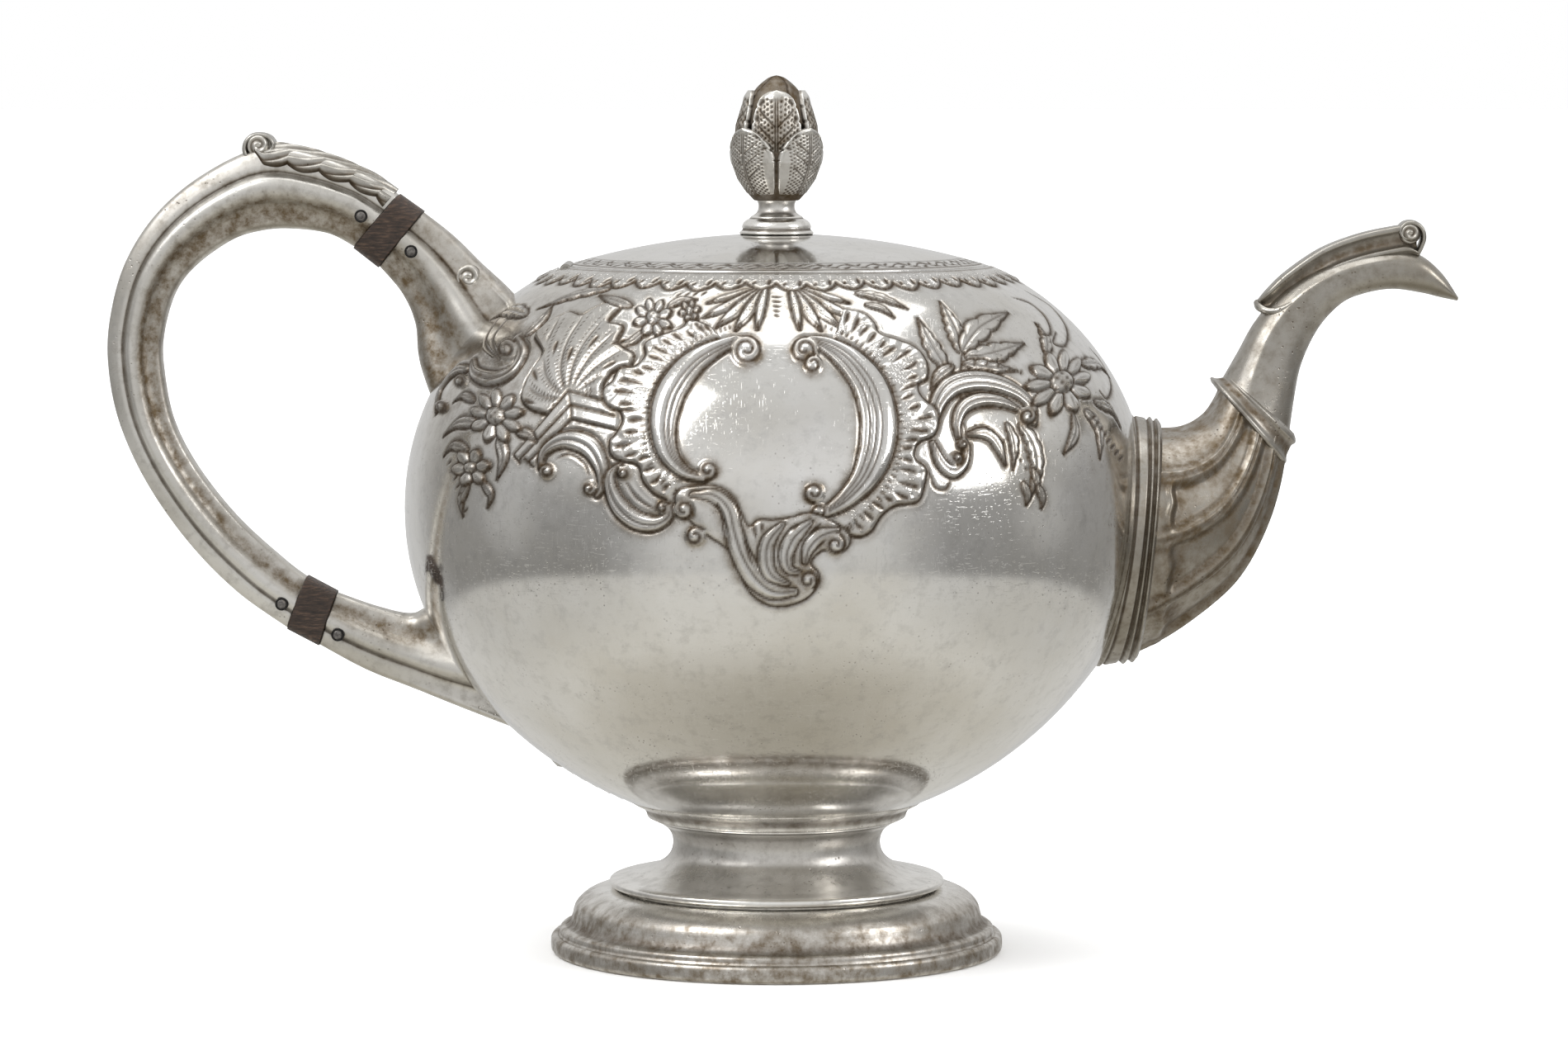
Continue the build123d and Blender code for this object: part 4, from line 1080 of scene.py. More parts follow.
def make_finial():
    foot = [
        [(2.6, 135.2), (6.7, 135.2)],
        [(6.95, 135.35), (6.95, 135.7), (6.6, 135.95)],
        [(6.35, 136.2), (6.5, 136.8), (6.1, 137.6), (5.4, 138.1)],
        [(4.95, 138.3), (4.9, 138.6)],
        [(4.3, 138.9), (3.65, 139.5), (3.4, 140.4), (3.5, 141.2), (3.9, 141.9)],
        [(4.4, 142.3), (2.6, 142.4)],
    ]
    turned_ring("finial_stem", "finial_base", "lid", foot, 0.05, step=0.14, columns=144)
    core = [
        [(2.0, 141.6), (4.2, 141.6)],
        [(6.0, 143.6), (7.2, 146.5), (7.6, 149.5), (7.1, 152.6), (6.4, 154.0)],
        [(4.0, 154.2), (2.0, 154.0)],
    ]
    loop = profile_loop(core, 0.2, 1)
    columns = 120
    faces = [grid_faces(len(loop), columns, wrap_rows=True)]
    # The core shows only in the gaps between the leaves: heavy tarnish and full painted shade with patina
    # there.
    marks = even_marks(len(loop) * columns, 0.55, 1.0)
    piece("finial_core", LID_CAST, revolved(loop, columns), faces, ("finial_lower_bud",), marks)
    for i in range(4):
        bud_leaf(f"finial_lower_leaf_{i + 1}", "lower", TAU / 8 + i * TAU / 4, 0.765, 0.05, 0.12)
    for i in range(4):
        bud_leaf(f"finial_upper_leaf_{i + 1}", "upper", i * TAU / 4, 0.70, -0.05 * (i % 2), 0.55)
    heart = np.array([(5.6, 153.5), (6.3, 156.0), (5.7, 159.0), (4.9, 161.0), (3.8, 162.6), (2.8, 163.6),
        (1.6, 164.5), (0.7, 164.85), (0.02, 165.0)])
    outline = curve(heart, 10)
    columns = 144
    turn = np.arange(columns) / columns * TAU
    r, z = outline[:, 0][:, None], outline[:, 1][:, None]
    crease = np.zeros((len(outline), columns))
    for i in range(4):
        bearing = TAU * (i + 0.28) / 4 + 0.35 * (z - 160) / 5 + 0.03 * np.sin(z * 2.2)
        away = (turn[None, :] - TAU / 4 - bearing + math.pi) % TAU - math.pi
        crease = np.maximum(crease, bell(away * r, 0.26))
    radius = r - 0.30 * crease * smoothstep(0.2, 1.2, r)
    grid = np.stack([radius * np.cos(turn), radius * np.sin(turn), z + 0 * turn], -1)
    # Tarnish all over the heart, heaviest in its creases, with full painted shade and patina: brown patina,
    # and painted shade that damps the highlight on its tip.
    marks = {"tarnish": np.clip(0.45 + 0.55 * crease, 0, 1), "halo": np.ones(crease.shape)}
    solid_piece("finial_heart", LID_CAST, grid, ("finial_upper_bud",), marks)


# ------------------------------------------------------------------ chased skins
def boundary_skirt(points, quads, normals, depth):
    """Turns the open edges of a sheet down into the shell beneath it."""
    edges = np.stack([quads, np.roll(quads, -1, axis=1)], -1).reshape(-1, 2)
    key = np.sort(edges, axis=1)
    flat = key[:, 0].astype(np.int64) * len(points) + key[:, 1]
    _, first, count = np.unique(flat, return_index=True, return_counts=True)
    open_edges = edges[first[count == 1]]
    rim, where = np.unique(open_edges, return_inverse=True)
    where = where.reshape(open_edges.shape)
    below = points[rim] - depth * normals[rim]
    a, b = open_edges[:, 0], open_edges[:, 1]
    low_a, low_b = len(points) + where[:, 0], len(points) + where[:, 1]
    return np.vstack([points, below]), np.vstack([quads, np.stack([b, a, low_a, low_b], 1)]), rim


def skin(name, body, line, outward, s_rows, u_columns, ornament, cut):
    """A chased sheet lying on a turned shell. cut says which side of a line in x the hinge's slot is."""
    along = lengths(line)
    radius = np.interp(s_rows, along, line[:, 0])
    height = np.interp(s_rows, along, line[:, 1])
    n_r = np.interp(s_rows, along, outward[:, 0])
    n_z = np.interp(s_rows, along, outward[:, 1])
    angle = u_columns / BELLY_R
    relief, marks = ornament(s_rows, u_columns)
    r = radius[:, None] + n_r[:, None] * (SKIN + relief)
    z = height[:, None] + n_z[:, None] * (SKIN + relief)
    points = np.stack([r * np.sin(angle), -r * np.cos(angle), z], -1).reshape(-1, 3)
    normals = np.stack([n_r[:, None] * np.sin(angle), -n_r[:, None] * np.cos(angle),
        n_z[:, None] + 0 * angle], -1)
    normals = normals.reshape(-1, 3)
    quads = grid_faces(len(s_rows), len(u_columns))
    edge_x, opens_above = cut
    x, y = points[:, 0], points[:, 1]
    beyond = (x > edge_x) if opens_above else (x < edge_x)
    inside = (np.abs(y) < HINGE_GAP) & beyond & (x < 0)
    quads = quads[~inside[quads].all(1)]
    used = np.zeros(len(points), bool)
    used[quads.ravel()] = True
    move = np.flatnonzero(inside & used)
    to_side = HINGE_GAP - np.abs(y[move])
    to_edge = np.abs(x[move] - edge_x)
    sideways = to_side < to_edge
    points[move[sideways], 1] = np.sign(y[move[sideways]]) * HINGE_GAP
    points[move[~sideways], 0] = edge_x
    used = np.unique(quads)
    renumber = np.full(len(points), -1)
    renumber[used] = np.arange(len(used))
    points, normals, quads = points[used], normals[used], renumber[quads]
    a, b, c = (points[quads[0, k]] for k in (0, 1, 2))
    if np.dot(np.cross(b - a, c - a), normals[quads[0, 0]]) < 0:
        quads = quads[:, ::-1]
    points, quads, rim = boundary_skirt(points, quads, normals, SKIN + 0.22)
    marks = {key: values.ravel()[used] for key, values in marks.items()}
    full = {key: np.concatenate([kept, kept[rim]]) for key, kept in marks.items()}
    return piece(name, (body, "silver_polished", POLISHED), points, [quads], (), full, closed=False)


# ------------------------------------------------------------------ chasing
class Chasing:
    """A height map of the chased work on the front half of the pot, in (u, s) as chart() gives them.

    Later strokes lie over earlier ones. The back of the pot carries the same work, mirrored.
    """

    # Besides the height, layers hold tarnish, stipple and a level of brown patina mixed with painted shade,
    # which the strokes lay beside their cuts and raised work.
    STEP = 0.17
    DEPTH = 92.0  # how far down from the mouth the map reaches

    def __init__(self):
        self.u = np.arange(-BELLY_R * math.pi / 2, BELLY_R * math.pi / 2 + self.STEP, self.STEP)
        self.s = np.arange(0, self.DEPTH, self.STEP)
        shape = (len(self.s), len(self.u))
        self.raised, self.cut, self.tarnish, self.halo, self.stipple = (np.zeros(shape) for _ in range(5))
        self.k = np.interp(self.s, POT_S, POT_LINE[:, 0]) / BELLY_R

    def window(self, low, high):
        c0, c1 = np.searchsorted(self.u, (low[0], high[0]))
        r0, r1 = np.searchsorted(self.s, (low[1], high[1]))
        return slice(r0, r1), slice(c0, c1)

    def field(self, line, reach):
        """Around a line: window, distance, distance along it and signed side, all in millimetres."""
        spread = np.array([reach * 1.75, reach])
        rows, cols = self.window(line.min(0) - spread, line.max(0) + spread)
        shape = (rows.stop - rows.start, cols.stop - cols.start)
        best, along, side = np.full(shape, 1e9), np.zeros(shape), np.full(shape, 1e4)
        k_line = np.interp(line[:, 1], self.s, self.k)
        tangent = np.gradient(line, axis=0)
        tangent[:, 0] *= k_line
        tangent /= np.linalg.norm(tangent, axis=1)[:, None] + 1e-9
        stretch = np.stack([line[:, 0] * k_line.mean(), line[:, 1]], 1)
        total = lengths(stretch)
        for first in range(0, max(len(line) - 1, 1), 24):
            part = slice(first, first + 25)
            low, high = line[part].min(0) - spread, line[part].max(0) + spread
            r, c = self.window(low, high)
            if r.stop <= r.start or c.stop <= c.start:
                continue
            du = (self.u[c][None, :, None] - line[part, 0]) * self.k[r][:, None, None]
            ds = self.s[r][:, None, None] - line[part, 1]
            squared = du**2 + ds**2
            nearest = squared.argmin(-1)
            pick = np.take_along_axis
            close = pick(squared, nearest[..., None], -1)[..., 0]
            du = pick(du, nearest[..., None], -1)[..., 0]
            ds = np.broadcast_to(ds, squared.shape)
            ds = pick(ds, nearest[..., None], -1)[..., 0]
            tu, ts = tangent[part, 0][nearest], tangent[part, 1][nearest]
            inner = (slice(r.start - rows.start, r.stop - rows.start),
                slice(c.start - cols.start, c.stop - cols.start))
            better = close < best[inner]
            best[inner] = np.where(better, close, best[inner])
            along[inner] = np.where(better, total[part][nearest] + du * tu + ds * ts, along[inner])
            side[inner] = np.where(better, du * ts - ds * tu, side[inner])
        distance = np.sqrt(best)
        over = np.maximum(np.maximum(-along, along - total[-1]), 0)
        exact = np.where(over > 0, distance, np.minimum(distance, np.abs(side)))
        return (rows, cols), exact, along / max(total[-1], 1e-6), np.sign(side) * exact

    def local(self, centre, reach):
        """Around a point on the front elevation: window, and offsets x and z as seen from the front."""
        c = chart([centre, (centre[0] + 0.5, centre[1]), (centre[0], centre[1] + 0.5)])
        jacobian = np.linalg.inv(np.stack([(c[1] - c[0]) / 0.5, (c[2] - c[0]) / 0.5], 1))
        spread = np.abs(np.linalg.inv(jacobian)).sum(1) * reach
        rows, cols = self.window(c[0] - spread, c[0] + spread)
        du = self.u[cols][None, :] - c[0][0]
        ds = self.s[rows][:, None] - c[0][1]
        x = jacobian[0, 0] * du + jacobian[0, 1] * ds
        z = jacobian[1, 0] * du + jacobian[1, 1] * ds
        return (rows, cols), x, z

    def lay(self, where, mask, raised, cut=0.0, tarnish=0.0, halo=0.2, stipple=0.0):
        """Replaces what is under a mask from 0 to 1."""
        for layer, value in (
            (self.raised, raised), (self.cut, cut), (self.tarnish, tarnish), (self.halo, halo),
            (self.stipple, stipple)
        ):
            layer[where] = layer[where] * (1 - mask) + value * mask

    def mark(self, where, cut=None, tarnish=None, halo=None, stipple=None):
        """Deepens each layer that is given to at least its value."""
        layers = ((self.cut, cut), (self.tarnish, tarnish), (self.halo, halo), (self.stipple, stipple))
        for layer, value in layers:
            if value is not None:
                layer[where] = np.maximum(layer[where], value)

    def groove(self, line, width=0.36, depth=0.22, dark=1.0, taper=(1.0, 1.0, 1.0)):
        """A chased line; taper gives its width at even steps along it."""
        where, d, t, _ = self.field(line, width * 6)
        w = width * np.interp(t, np.linspace(0, 1, len(taper)), taper)
        w = np.maximum(w, 0.05)
        fade = np.clip(w / width * 1.6, 0, 1)
        # A wide band of painted shade with patina lies beside the cut and its tarnish.
        self.mark(
            where, depth * fade * bell(d, w), dark * fade * bell(d, w * 0.95), 0.85 * fade * bell(d, w * 3.0)
        )
        self.raised[where] += 0.055 * fade * bell(d - 2.1 * w, w * 0.9)

    def dash(self, line, width, depth, dark=0.95):
        """A teardrop punch mark, widest near its first end."""
        self.groove(line, width, depth, dark, (0.7, 1.0, 0.75, 0.45, 0.15))

    def band(self, line, half_widths, height, flutes=(), edge=0.36):
        """A raised scroll along points on the front elevation, with lengthwise flutes and chased edges."""
        where, d, t, side = self.field(front(line), max(half_widths) + 2.2)
        w = np.interp(np.clip(t, 0, 1), np.linspace(0, 1, len(half_widths)), half_widths)
        f = d / w
        signed = np.sign(side) * f
        mask = smoothstep(1.06, 0.94, f)
        dome = height * np.clip(1 - np.clip(f, 0, 1) ** 2.6, 0, 1) ** 0.75
        cut = np.zeros(f.shape)
        dark = np.zeros(f.shape)
        for at in flutes:
            cut = np.maximum(cut, 0.26 * height / 0.6 * bell((signed - at) * w, 0.42))
            dark = np.maximum(dark, 0.72 * bell((signed - at) * w, 0.24))
        self.lay(where, mask, dome, cut, dark, 0.12 + 0.25 * dark)
        # Outside its edges the scroll gets a chased line with tarnish and a broad band of painted shade.
        away = (f - 1.0) * w
        self.mark(where, 0.28 * bell(away - 0.08, edge), bell(away - 0.06, edge * 0.95),
            0.9 * bell(away - 0.25, 1.1))

    def volute(self, centre, radius, start, hand, turns=1.3):
        """The snail at a scroll's end, round as seen from the front."""
        where, x, z = self.local(centre, radius + 1.6)
        rho = np.hypot(x, z)
        theta = (np.arctan2(z, x) - start) * hand % TAU
        f = rho / radius
        mask = smoothstep(1.05, 0.93, f)
        self.lay(where, mask, 0.7 * (1 - np.clip(f, 0, 1) ** 3 * 0.55), 0.0, 0.0, 0.15)
        nearest = np.full(rho.shape, 9.0)
        for lap in range(3):
            phi = theta + TAU * lap
            ring = radius * (1 - 0.80 * phi / (TAU * turns))
            nearest = np.where(phi <= TAU * turns, np.minimum(nearest, np.abs(rho - ring)), nearest)
        line = bell(nearest, 0.33)
        # Tarnish along the spiral, with painted shade along it and round the snail's edge.
        self.mark(where, 0.26 * line, bell(nearest, 0.32),
            0.5 * bell(nearest, 0.8) + 0.7 * bell(rho - radius, 0.9))
        self.raised[where] += 0.22 * bell(rho, radius * 0.30)

    def daisy(self, centre, radius, petals, core, turn=0.0):
        """An open flower with creased, pointed petals and a pierced-looking boss."""
        where, x, z = self.local(centre, radius + 1.4)
        rho, theta = np.hypot(x, z), np.arctan2(z, x) + turn
        share = (theta / TAU * petals) % 1 - 0.5
        a = np.abs(2 * share)
        edge = radius * (1 - 0.36 * a**1.5)
        mask = smoothstep(0.25, -0.15, rho - edge)
        gap = (1 - a) * rho * math.pi / petals
        body = 0.55 * np.clip(1 - a**2.2, 0, 1) * (0.5 + 0.5 * smoothstep(0, radius, rho))
        crease = bell(share * TAU / petals * rho, 0.20) * smoothstep(core, core * 2, rho) * smoothstep(radius,
            radius * 0.6, rho)
        between = bell(gap, 0.30)
        self.lay(where, mask, body, 0.20 * between + 0.10 * crease, 0.9 * between + 0.45 * crease, 0.3)
        outline = np.abs(rho - edge)
        # Tarnish round the petals' outline, with a band of painted shade outside it.
        self.mark(where, 0.22 * bell(outline - 0.05, 0.26), bell(outline - 0.05, 0.33),
            0.85 * bell(rho - edge, 1.1))
        heart = smoothstep(core * 1.05, core * 0.9, rho)
        seeds = np.clip(np.sin(x / core * 7.5) * np.sin(z / core * 7.5), 0, 1) ** 0.8
        self.lay(where, heart, 0.75 * np.sqrt(np.clip(1 - (rho / core) ** 2, 0, 1)), 0.12 * seeds,
            0.75 * seeds, 0.6)
        ring = bell(rho - core, 0.25)
        self.mark(where, 0.24 * ring, 0.95 * ring)

    def fringe(self, line, away, length):
        """Short punched ticks that stand along one side of a line."""
        total = lengths(line)
        normal = directions(line)[:, ::-1] * (1, -1)
        for i, at in enumerate(np.arange(total[-1] * 0.04, total[-1] * 0.96, 0.95)):
            foot = np.array([np.interp(at, total, line[:, 0]), np.interp(at, total, line[:, 1])])
            way = np.array([np.interp(at, total, normal[:, 0]), np.interp(at, total, normal[:, 1])])
            near = foot + way * away
            far = near + way * math.copysign(length * (0.8 + 0.4 * math.sin(i * 1.9) ** 2), away)
            self.groove(resample(np.array([near, far]), 0.25), 0.20, 0.12, 0.85, (1.0, 0.8, 0.3))

    def leaf(self, line, width, veins, lobes=0):
        """A leaf from stalk to tip, with a midrib, side veins and, if lobed, a scalloped edge."""
        line = front(line)
        where, d, t, side = self.field(line, width + 1.4)
        inside = np.clip(t, 0, 1)
        w = width * np.sin(math.pi * inside**0.8) ** 0.8 * (0.35 + 0.65 * (1 - inside**3))
        if lobes:
            w = w * (0.74 + 0.26 * np.abs(np.sin(math.pi * lobes * inside)) ** 0.7)
        w = np.maximum(w, 0.12)
        beyond = np.maximum(np.maximum(-t, t - 1), 0)
        f = d / w
        mask = smoothstep(1.08, 0.92, f) * (beyond <= 0)
        length = lengths(line)[-1]
        slant = (inside * veins - 0.9 * np.abs(side) / max(width, 0.1)) % 1 - 0.5
        vein = bell(slant * length / veins, 0.20) * smoothstep(0.12, 0.3, f)
        rib = bell(side, 0.22)
        body = 0.5 * np.clip(1 - f**2.2, 0, 1) ** 0.6 * (1 - 0.35 * bell(side, 0.6))
        self.lay(where, mask, body, 0.13 * vein + 0.18 * rib, 0.62 * np.maximum(vein, rib), 0.35)
        out = np.where(beyond > 0, 9.0, d - w)
        # Tarnish round the leaf's outline, with a band of painted shade outside it.
        self.mark(where, 0.22 * bell(out, 0.25), bell(out, 0.31), 0.75 * bell(out, 1.1))

    def region(self, outline):
        """The window of a closed outline and a mask that is 1 inside it."""
        rows, cols = self.window(outline.min(0), outline.max(0))
        uu, ss = np.meshgrid(self.u[cols], self.s[rows])
        inside = np.zeros(uu.shape, bool)
        follow = np.roll(outline, -1, axis=0)
        for (u0, s0), (u1, s1) in zip(outline, follow):
            if s0 == s1:
                continue
            crosses = (s0 > ss) != (s1 > ss)
            at = u0 + (ss - s0) / (s1 - s0) * (u1 - u0)
            inside ^= crosses & (uu < at)
        return (rows, cols), inside.astype(float)

    def ruffle(self, outer, inner):
        """Pleated shellwork between a wavy edge and a scroll: flutes, punched dashes and dotted ground."""
        spacing, length, flute = 2.8, 0.58, 0.20
        count = int(lengths(outer)[-1] / spacing)
        fine = 6 * count + 1
        edge, heel = resample(outer, count=fine), resample(inner, count=fine)
        loop = np.vstack([edge, heel[::-1]])
        where, mask = self.region(loop)
        d, t = self.distance_in(where, edge)
        pleat = 0.5 + 0.5 * np.cos(TAU * t * count)
        depth = smoothstep(0.0, 1.2, d)
        ground = 0.34 + flute * pleat * (0.4 + 0.6 * depth) - 0.10 * smoothstep(2, 7, d)
        self.lay(where, mask, ground, 0.0, 0.0, 0.34, 0.75 * smoothstep(1.6, 3.2, d) * (pleat > 0.45))
        self.groove(edge, 0.36, 0.26, 1.0)
        for i in range(count):
            a, b = edge[6 * i + 3], heel[6 * i + 3]
            start = a + (b - a) * (0.16 + 0.06 * (i % 3))
            stop = a + (b - a) * (length + 0.10 * ((i * 7) % 4 - 1.5) / 2)
            bow = np.array([0.25 * math.sin(i * 2.1), 0.15 * math.cos(i * 1.7)])
            self.dash(resample(curve([start, (start + stop) / 2 + bow, stop], 6), 0.3), 0.46, 0.22)

    def distance_in(self, where, line):
        """Distance to a line, and how far along it the nearest point is, for every cell of a window."""
        rows, cols = where
        du = (self.u[cols][None, :, None] - line[:, 0]) * self.k[rows][:, None, None]
        ds = self.s[rows][:, None, None] - line[:, 1]
        squared = du**2 + ds**2
        nearest = squared.argmin(-1)
        d = np.sqrt(np.take_along_axis(squared, nearest[..., None], -1)[..., 0])
        return d, nearest / (len(line) - 1)

    def fan(self, focus, edge, ribs):
        """A half-open shell: ribs fan from a focus to a wavy edge, with rows of dots beside each rib."""
        wavy = chart(curve(edge, 16))
        centre = chart([focus])[0]
        where, mask = self.region(np.vstack([wavy, centre[None]]))

        first, last = (math.atan2(*(wavy[k] - centre)[::-1]) for k in (0, -1))
        spread = (last - first) % TAU
        uu, ss = np.meshgrid(self.u[where[1]], self.s[where[0]])
        reach = np.hypot(uu - centre[0], ss - centre[1])
        swirl = 0.030
        turn = (np.arctan2(ss - centre[1], uu - centre[0]) - first) % TAU - swirl * reach
        share = turn / spread
        beat = (ribs * share) % 1 - 0.5
        wide = np.maximum(reach * spread / ribs, 0.1)
        wave = np.cos(math.pi * beat) ** 0.8
        d, _ = self.distance_in(where, resample(wavy, 0.5))
        ground = 0.26 + 0.26 * wave * smoothstep(0, 10, reach) + 0.12 * bell(d - 1.4, 0.9)
        fade = smoothstep(1.5, 4.0, reach) * smoothstep(0.8, 2.4, d)
        gap = bell((0.5 - np.abs(beat)) * wide, 0.30)
        dots = np.clip(np.sin(reach * 7.0) * 1.8, 0, 1) * bell((np.abs(beat) - 0.27) * wide, 0.30) * fade
        self.lay(
            where, mask, ground, 0.12 * gap * fade + 0.14 * dots, np.maximum(0.6 * gap * fade, 0.95 * dots),
            0.30 + 0.3 * gap, 0.0,
        )
        self.groove(resample(wavy, 0.3), 0.36, 0.26, 1.0)
        for i in range(ribs):
            far = 7.5 + 2.0 * (i % 3)
            ends = []
            for out in (far + 3.2, far + 1.6, far):
                way = first + spread * (i + 0.5) / ribs + swirl * out
                ends.append(centre + out * np.array([math.cos(way), math.sin(way)]))
            self.dash(resample(curve(ends, 6), 0.3), 0.46, 0.2, 0.95)

    def sample(self, s_rows, u_columns):
        """Height and marks at each row and column; columns past the sides read the mirrored front."""
        half = BELLY_R * math.pi / 2
        u = np.where(u_columns > half, 2 * half - u_columns,
            np.where(u_columns < -half, -2 * half - u_columns, u_columns))
        r = np.clip(s_rows / self.STEP, 0, len(self.s) - 1.001)
        c = np.clip((u - self.u[0]) / self.STEP, 0, len(self.u) - 1.001)
        r0, c0 = r.astype(int), c.astype(int)
        fr, fc = (r - r0)[:, None], (c - c0)[None, :]
        fade = smoothstep(self.DEPTH - 2, self.DEPTH - 6, s_rows)[:, None]

        def read(layer):
            top = layer[r0][:, c0] * (1 - fc) + layer[r0][:, c0 + 1] * fc
            low = layer[r0 + 1][:, c0] * (1 - fc) + layer[r0 + 1][:, c0 + 1] * fc
            return (top * (1 - fr) + low * fr) * fade

        marks = {"tarnish": np.clip(1.35 * read(self.tarnish), 0, 1), "halo": read(self.halo),
            "stipple": read(self.stipple)}
        return read(self.raised) - read(self.cut), marks


def front(points, closed=False):
    """A smooth line through points drawn on the front elevation, as it lies on the pot."""
    return resample(chart(curve(points, 12, closed)), 0.3)


def straight(points):
    """The same for straight strokes between points."""
    return resample(chart(resample(np.asarray(points, float), 0.6)), 0.3)


def each(stroke, *rows):
    """Makes a stroke once for each row of its arguments."""
    for row in rows:
        stroke(*row)


def chase_border(work):
    """Scalloped border under the lid's joint: pleats, punched drops and a chased edge, all the way round."""
    half = BELLY_R * math.pi / 2
    scallops = 25
    u = np.linspace(-half, half, 1400)
    beat = u / (2 * half) * scallops
    edge = 4.4 + 2.3 * np.abs(np.sin(math.pi * beat)) ** 0.8 + 0.35 * np.sin(TAU * beat / 3.7)
    line = np.stack([u, edge], 1)
    rows = slice(0, int(9 / work.STEP))
    uu = work.u[None, :]
    ss = work.s[rows][:, None]
    lower = np.interp(uu[0], u, edge)[None, :]
    here = uu / (2 * half) * scallops
    inside = smoothstep(0.15, -0.15, ss - lower) * smoothstep(0.5, 0.9, ss)
    pleat = 0.5 + 0.5 * np.cos(TAU * here * 3)
    ground = (0.16 + 0.10 * pleat * smoothstep(1.0, 3.0, ss)) + 0 * uu
    work.lay((rows, slice(0, len(work.u))), inside + 0 * uu, ground, 0.0, 0.0, 0.22, 0.6 * (pleat < 0.5))
    work.groove(line, 0.34, 0.24, 1.0)
    work.groove(np.stack([u, 0.85 + 0 * u], 1), 0.18, 0.10, 0.85)
    for i in range(-scallops, scallops):
        at = (i + 0.5) / (scallops * 2) * 2 * half
        reach = 2.4 if i % 2 else 1.2
        tip = np.interp(at, u, edge) - 1.1
        work.dash(resample(np.array([(at, tip), (at + 0.7, tip - reach)]), 0.2), 0.42, 0.18, 1.0)


def chase_cartouche(work):
    """The heart-shaped cartouche: two fluted scrolls in pleated shellwork."""
    left_edge = front([
        (-12.7, 117.9), (-16.0, 118.9), (-17.9, 117.4), (-21.7, 116.0), (-24.6, 114.6), (-24.6, 112.2),
        (-26.5, 110.3), (-29.3, 109.8), (-30.8, 107.4), (-32.4, 106.0), (-32.2, 103.6), (-30.8, 102.2),
        (-29.3, 101.7), (-28.9, 99.8), (-30.3, 97.4), (-31.2, 96.5), (-31.2, 94.1), (-29.8, 92.7),
        (-26.0, 91.7), (-25.1, 88.9), (-23.1, 86.5), (-20.6, 85.2),
    ])
    left_heel = front([
        (-9.6, 114.6), (-12.7, 113.4), (-16.5, 110.8), (-19.8, 106.4), (-21.4, 101.5), (-21.5, 97.0),
        (-20.4, 92.9), (-17.6, 89.6),
    ])
    work.ruffle(left_edge, left_heel)
    right_edge = front([
        (12.7, 121.0), (16.3, 120.2), (18.4, 118.4), (19.4, 116.4), (22.5, 115.3), (26.1, 113.8),
        (28.2, 111.2), (28.4, 108.1), (26.6, 106.6), (27.4, 104.5), (29.7, 102.4), (30.5, 99.8), (29.7, 97.3),
        (26.6, 95.7), (26.1, 93.1), (28.2, 91.1), (27.9, 88.0), (26.6, 84.9), (22.5, 84.1), (19.9, 82.3),
        (17.8, 79.2), (15.3, 78.2), (12.7, 79.2),
    ])
    right_heel = front([
        (10.5, 114.6), (14.0, 112.4), (18.0, 108.0), (20.0, 103.0), (20.4, 98.3), (19.6, 93.0), (17.4, 88.4),
        (14.0, 84.6), (10.8, 82.2),
    ])
    work.ruffle(right_edge, right_heel)
    left = [
        (-5.1, 115.3), (-7.9, 114.9), (-12.7, 112.9), (-16.5, 110.1), (-19.6, 105.8), (-21.0, 101.3),
        (-21.1, 97.0), (-19.9, 93.2), (-17.0, 90.3), (-13.4, 89.3),
    ]
    work.fringe(front(left), -3.3, 1.3)
    work.band(left, (0.6, 1.4, 2.2, 2.7, 2.9, 2.8, 2.4, 1.9, 1.2, 0.7), 0.95, (0.20, 0.52))
    each(work.volute, ((-5.5, 113.2), 2.9, 1.9, -1, 1.7), ((-12.7, 90.8), 1.85, 4.4, 1))
    right = [
        (5.5, 115.3), (9.6, 114.2), (13.9, 111.4), (17.4, 107.1), (19.0, 102.4), (19.3, 98.3), (18.6, 93.7),
        (16.6, 89.2), (13.4, 85.6), (10.2, 83.4), (8.0, 82.8),
    ]
    work.fringe(front(right), 3.8, 1.3)
    work.band(right, (0.7, 1.8, 2.7, 3.2, 3.4, 3.4, 3.3, 2.9, 2.2, 1.5, 0.8), 0.95, (-0.52, -0.20, 0.12))
    each(
        work.volute,
        ((5.3, 113.2), 2.6, 1.3, 1, 1.7),
        ((6.9, 110.5), 1.8, 1.3, 1),
        ((7.1, 86.6), 2.0, 4.9, -1),
        ((8.1, 82.9), 1.7, 4.9, -1),
    )


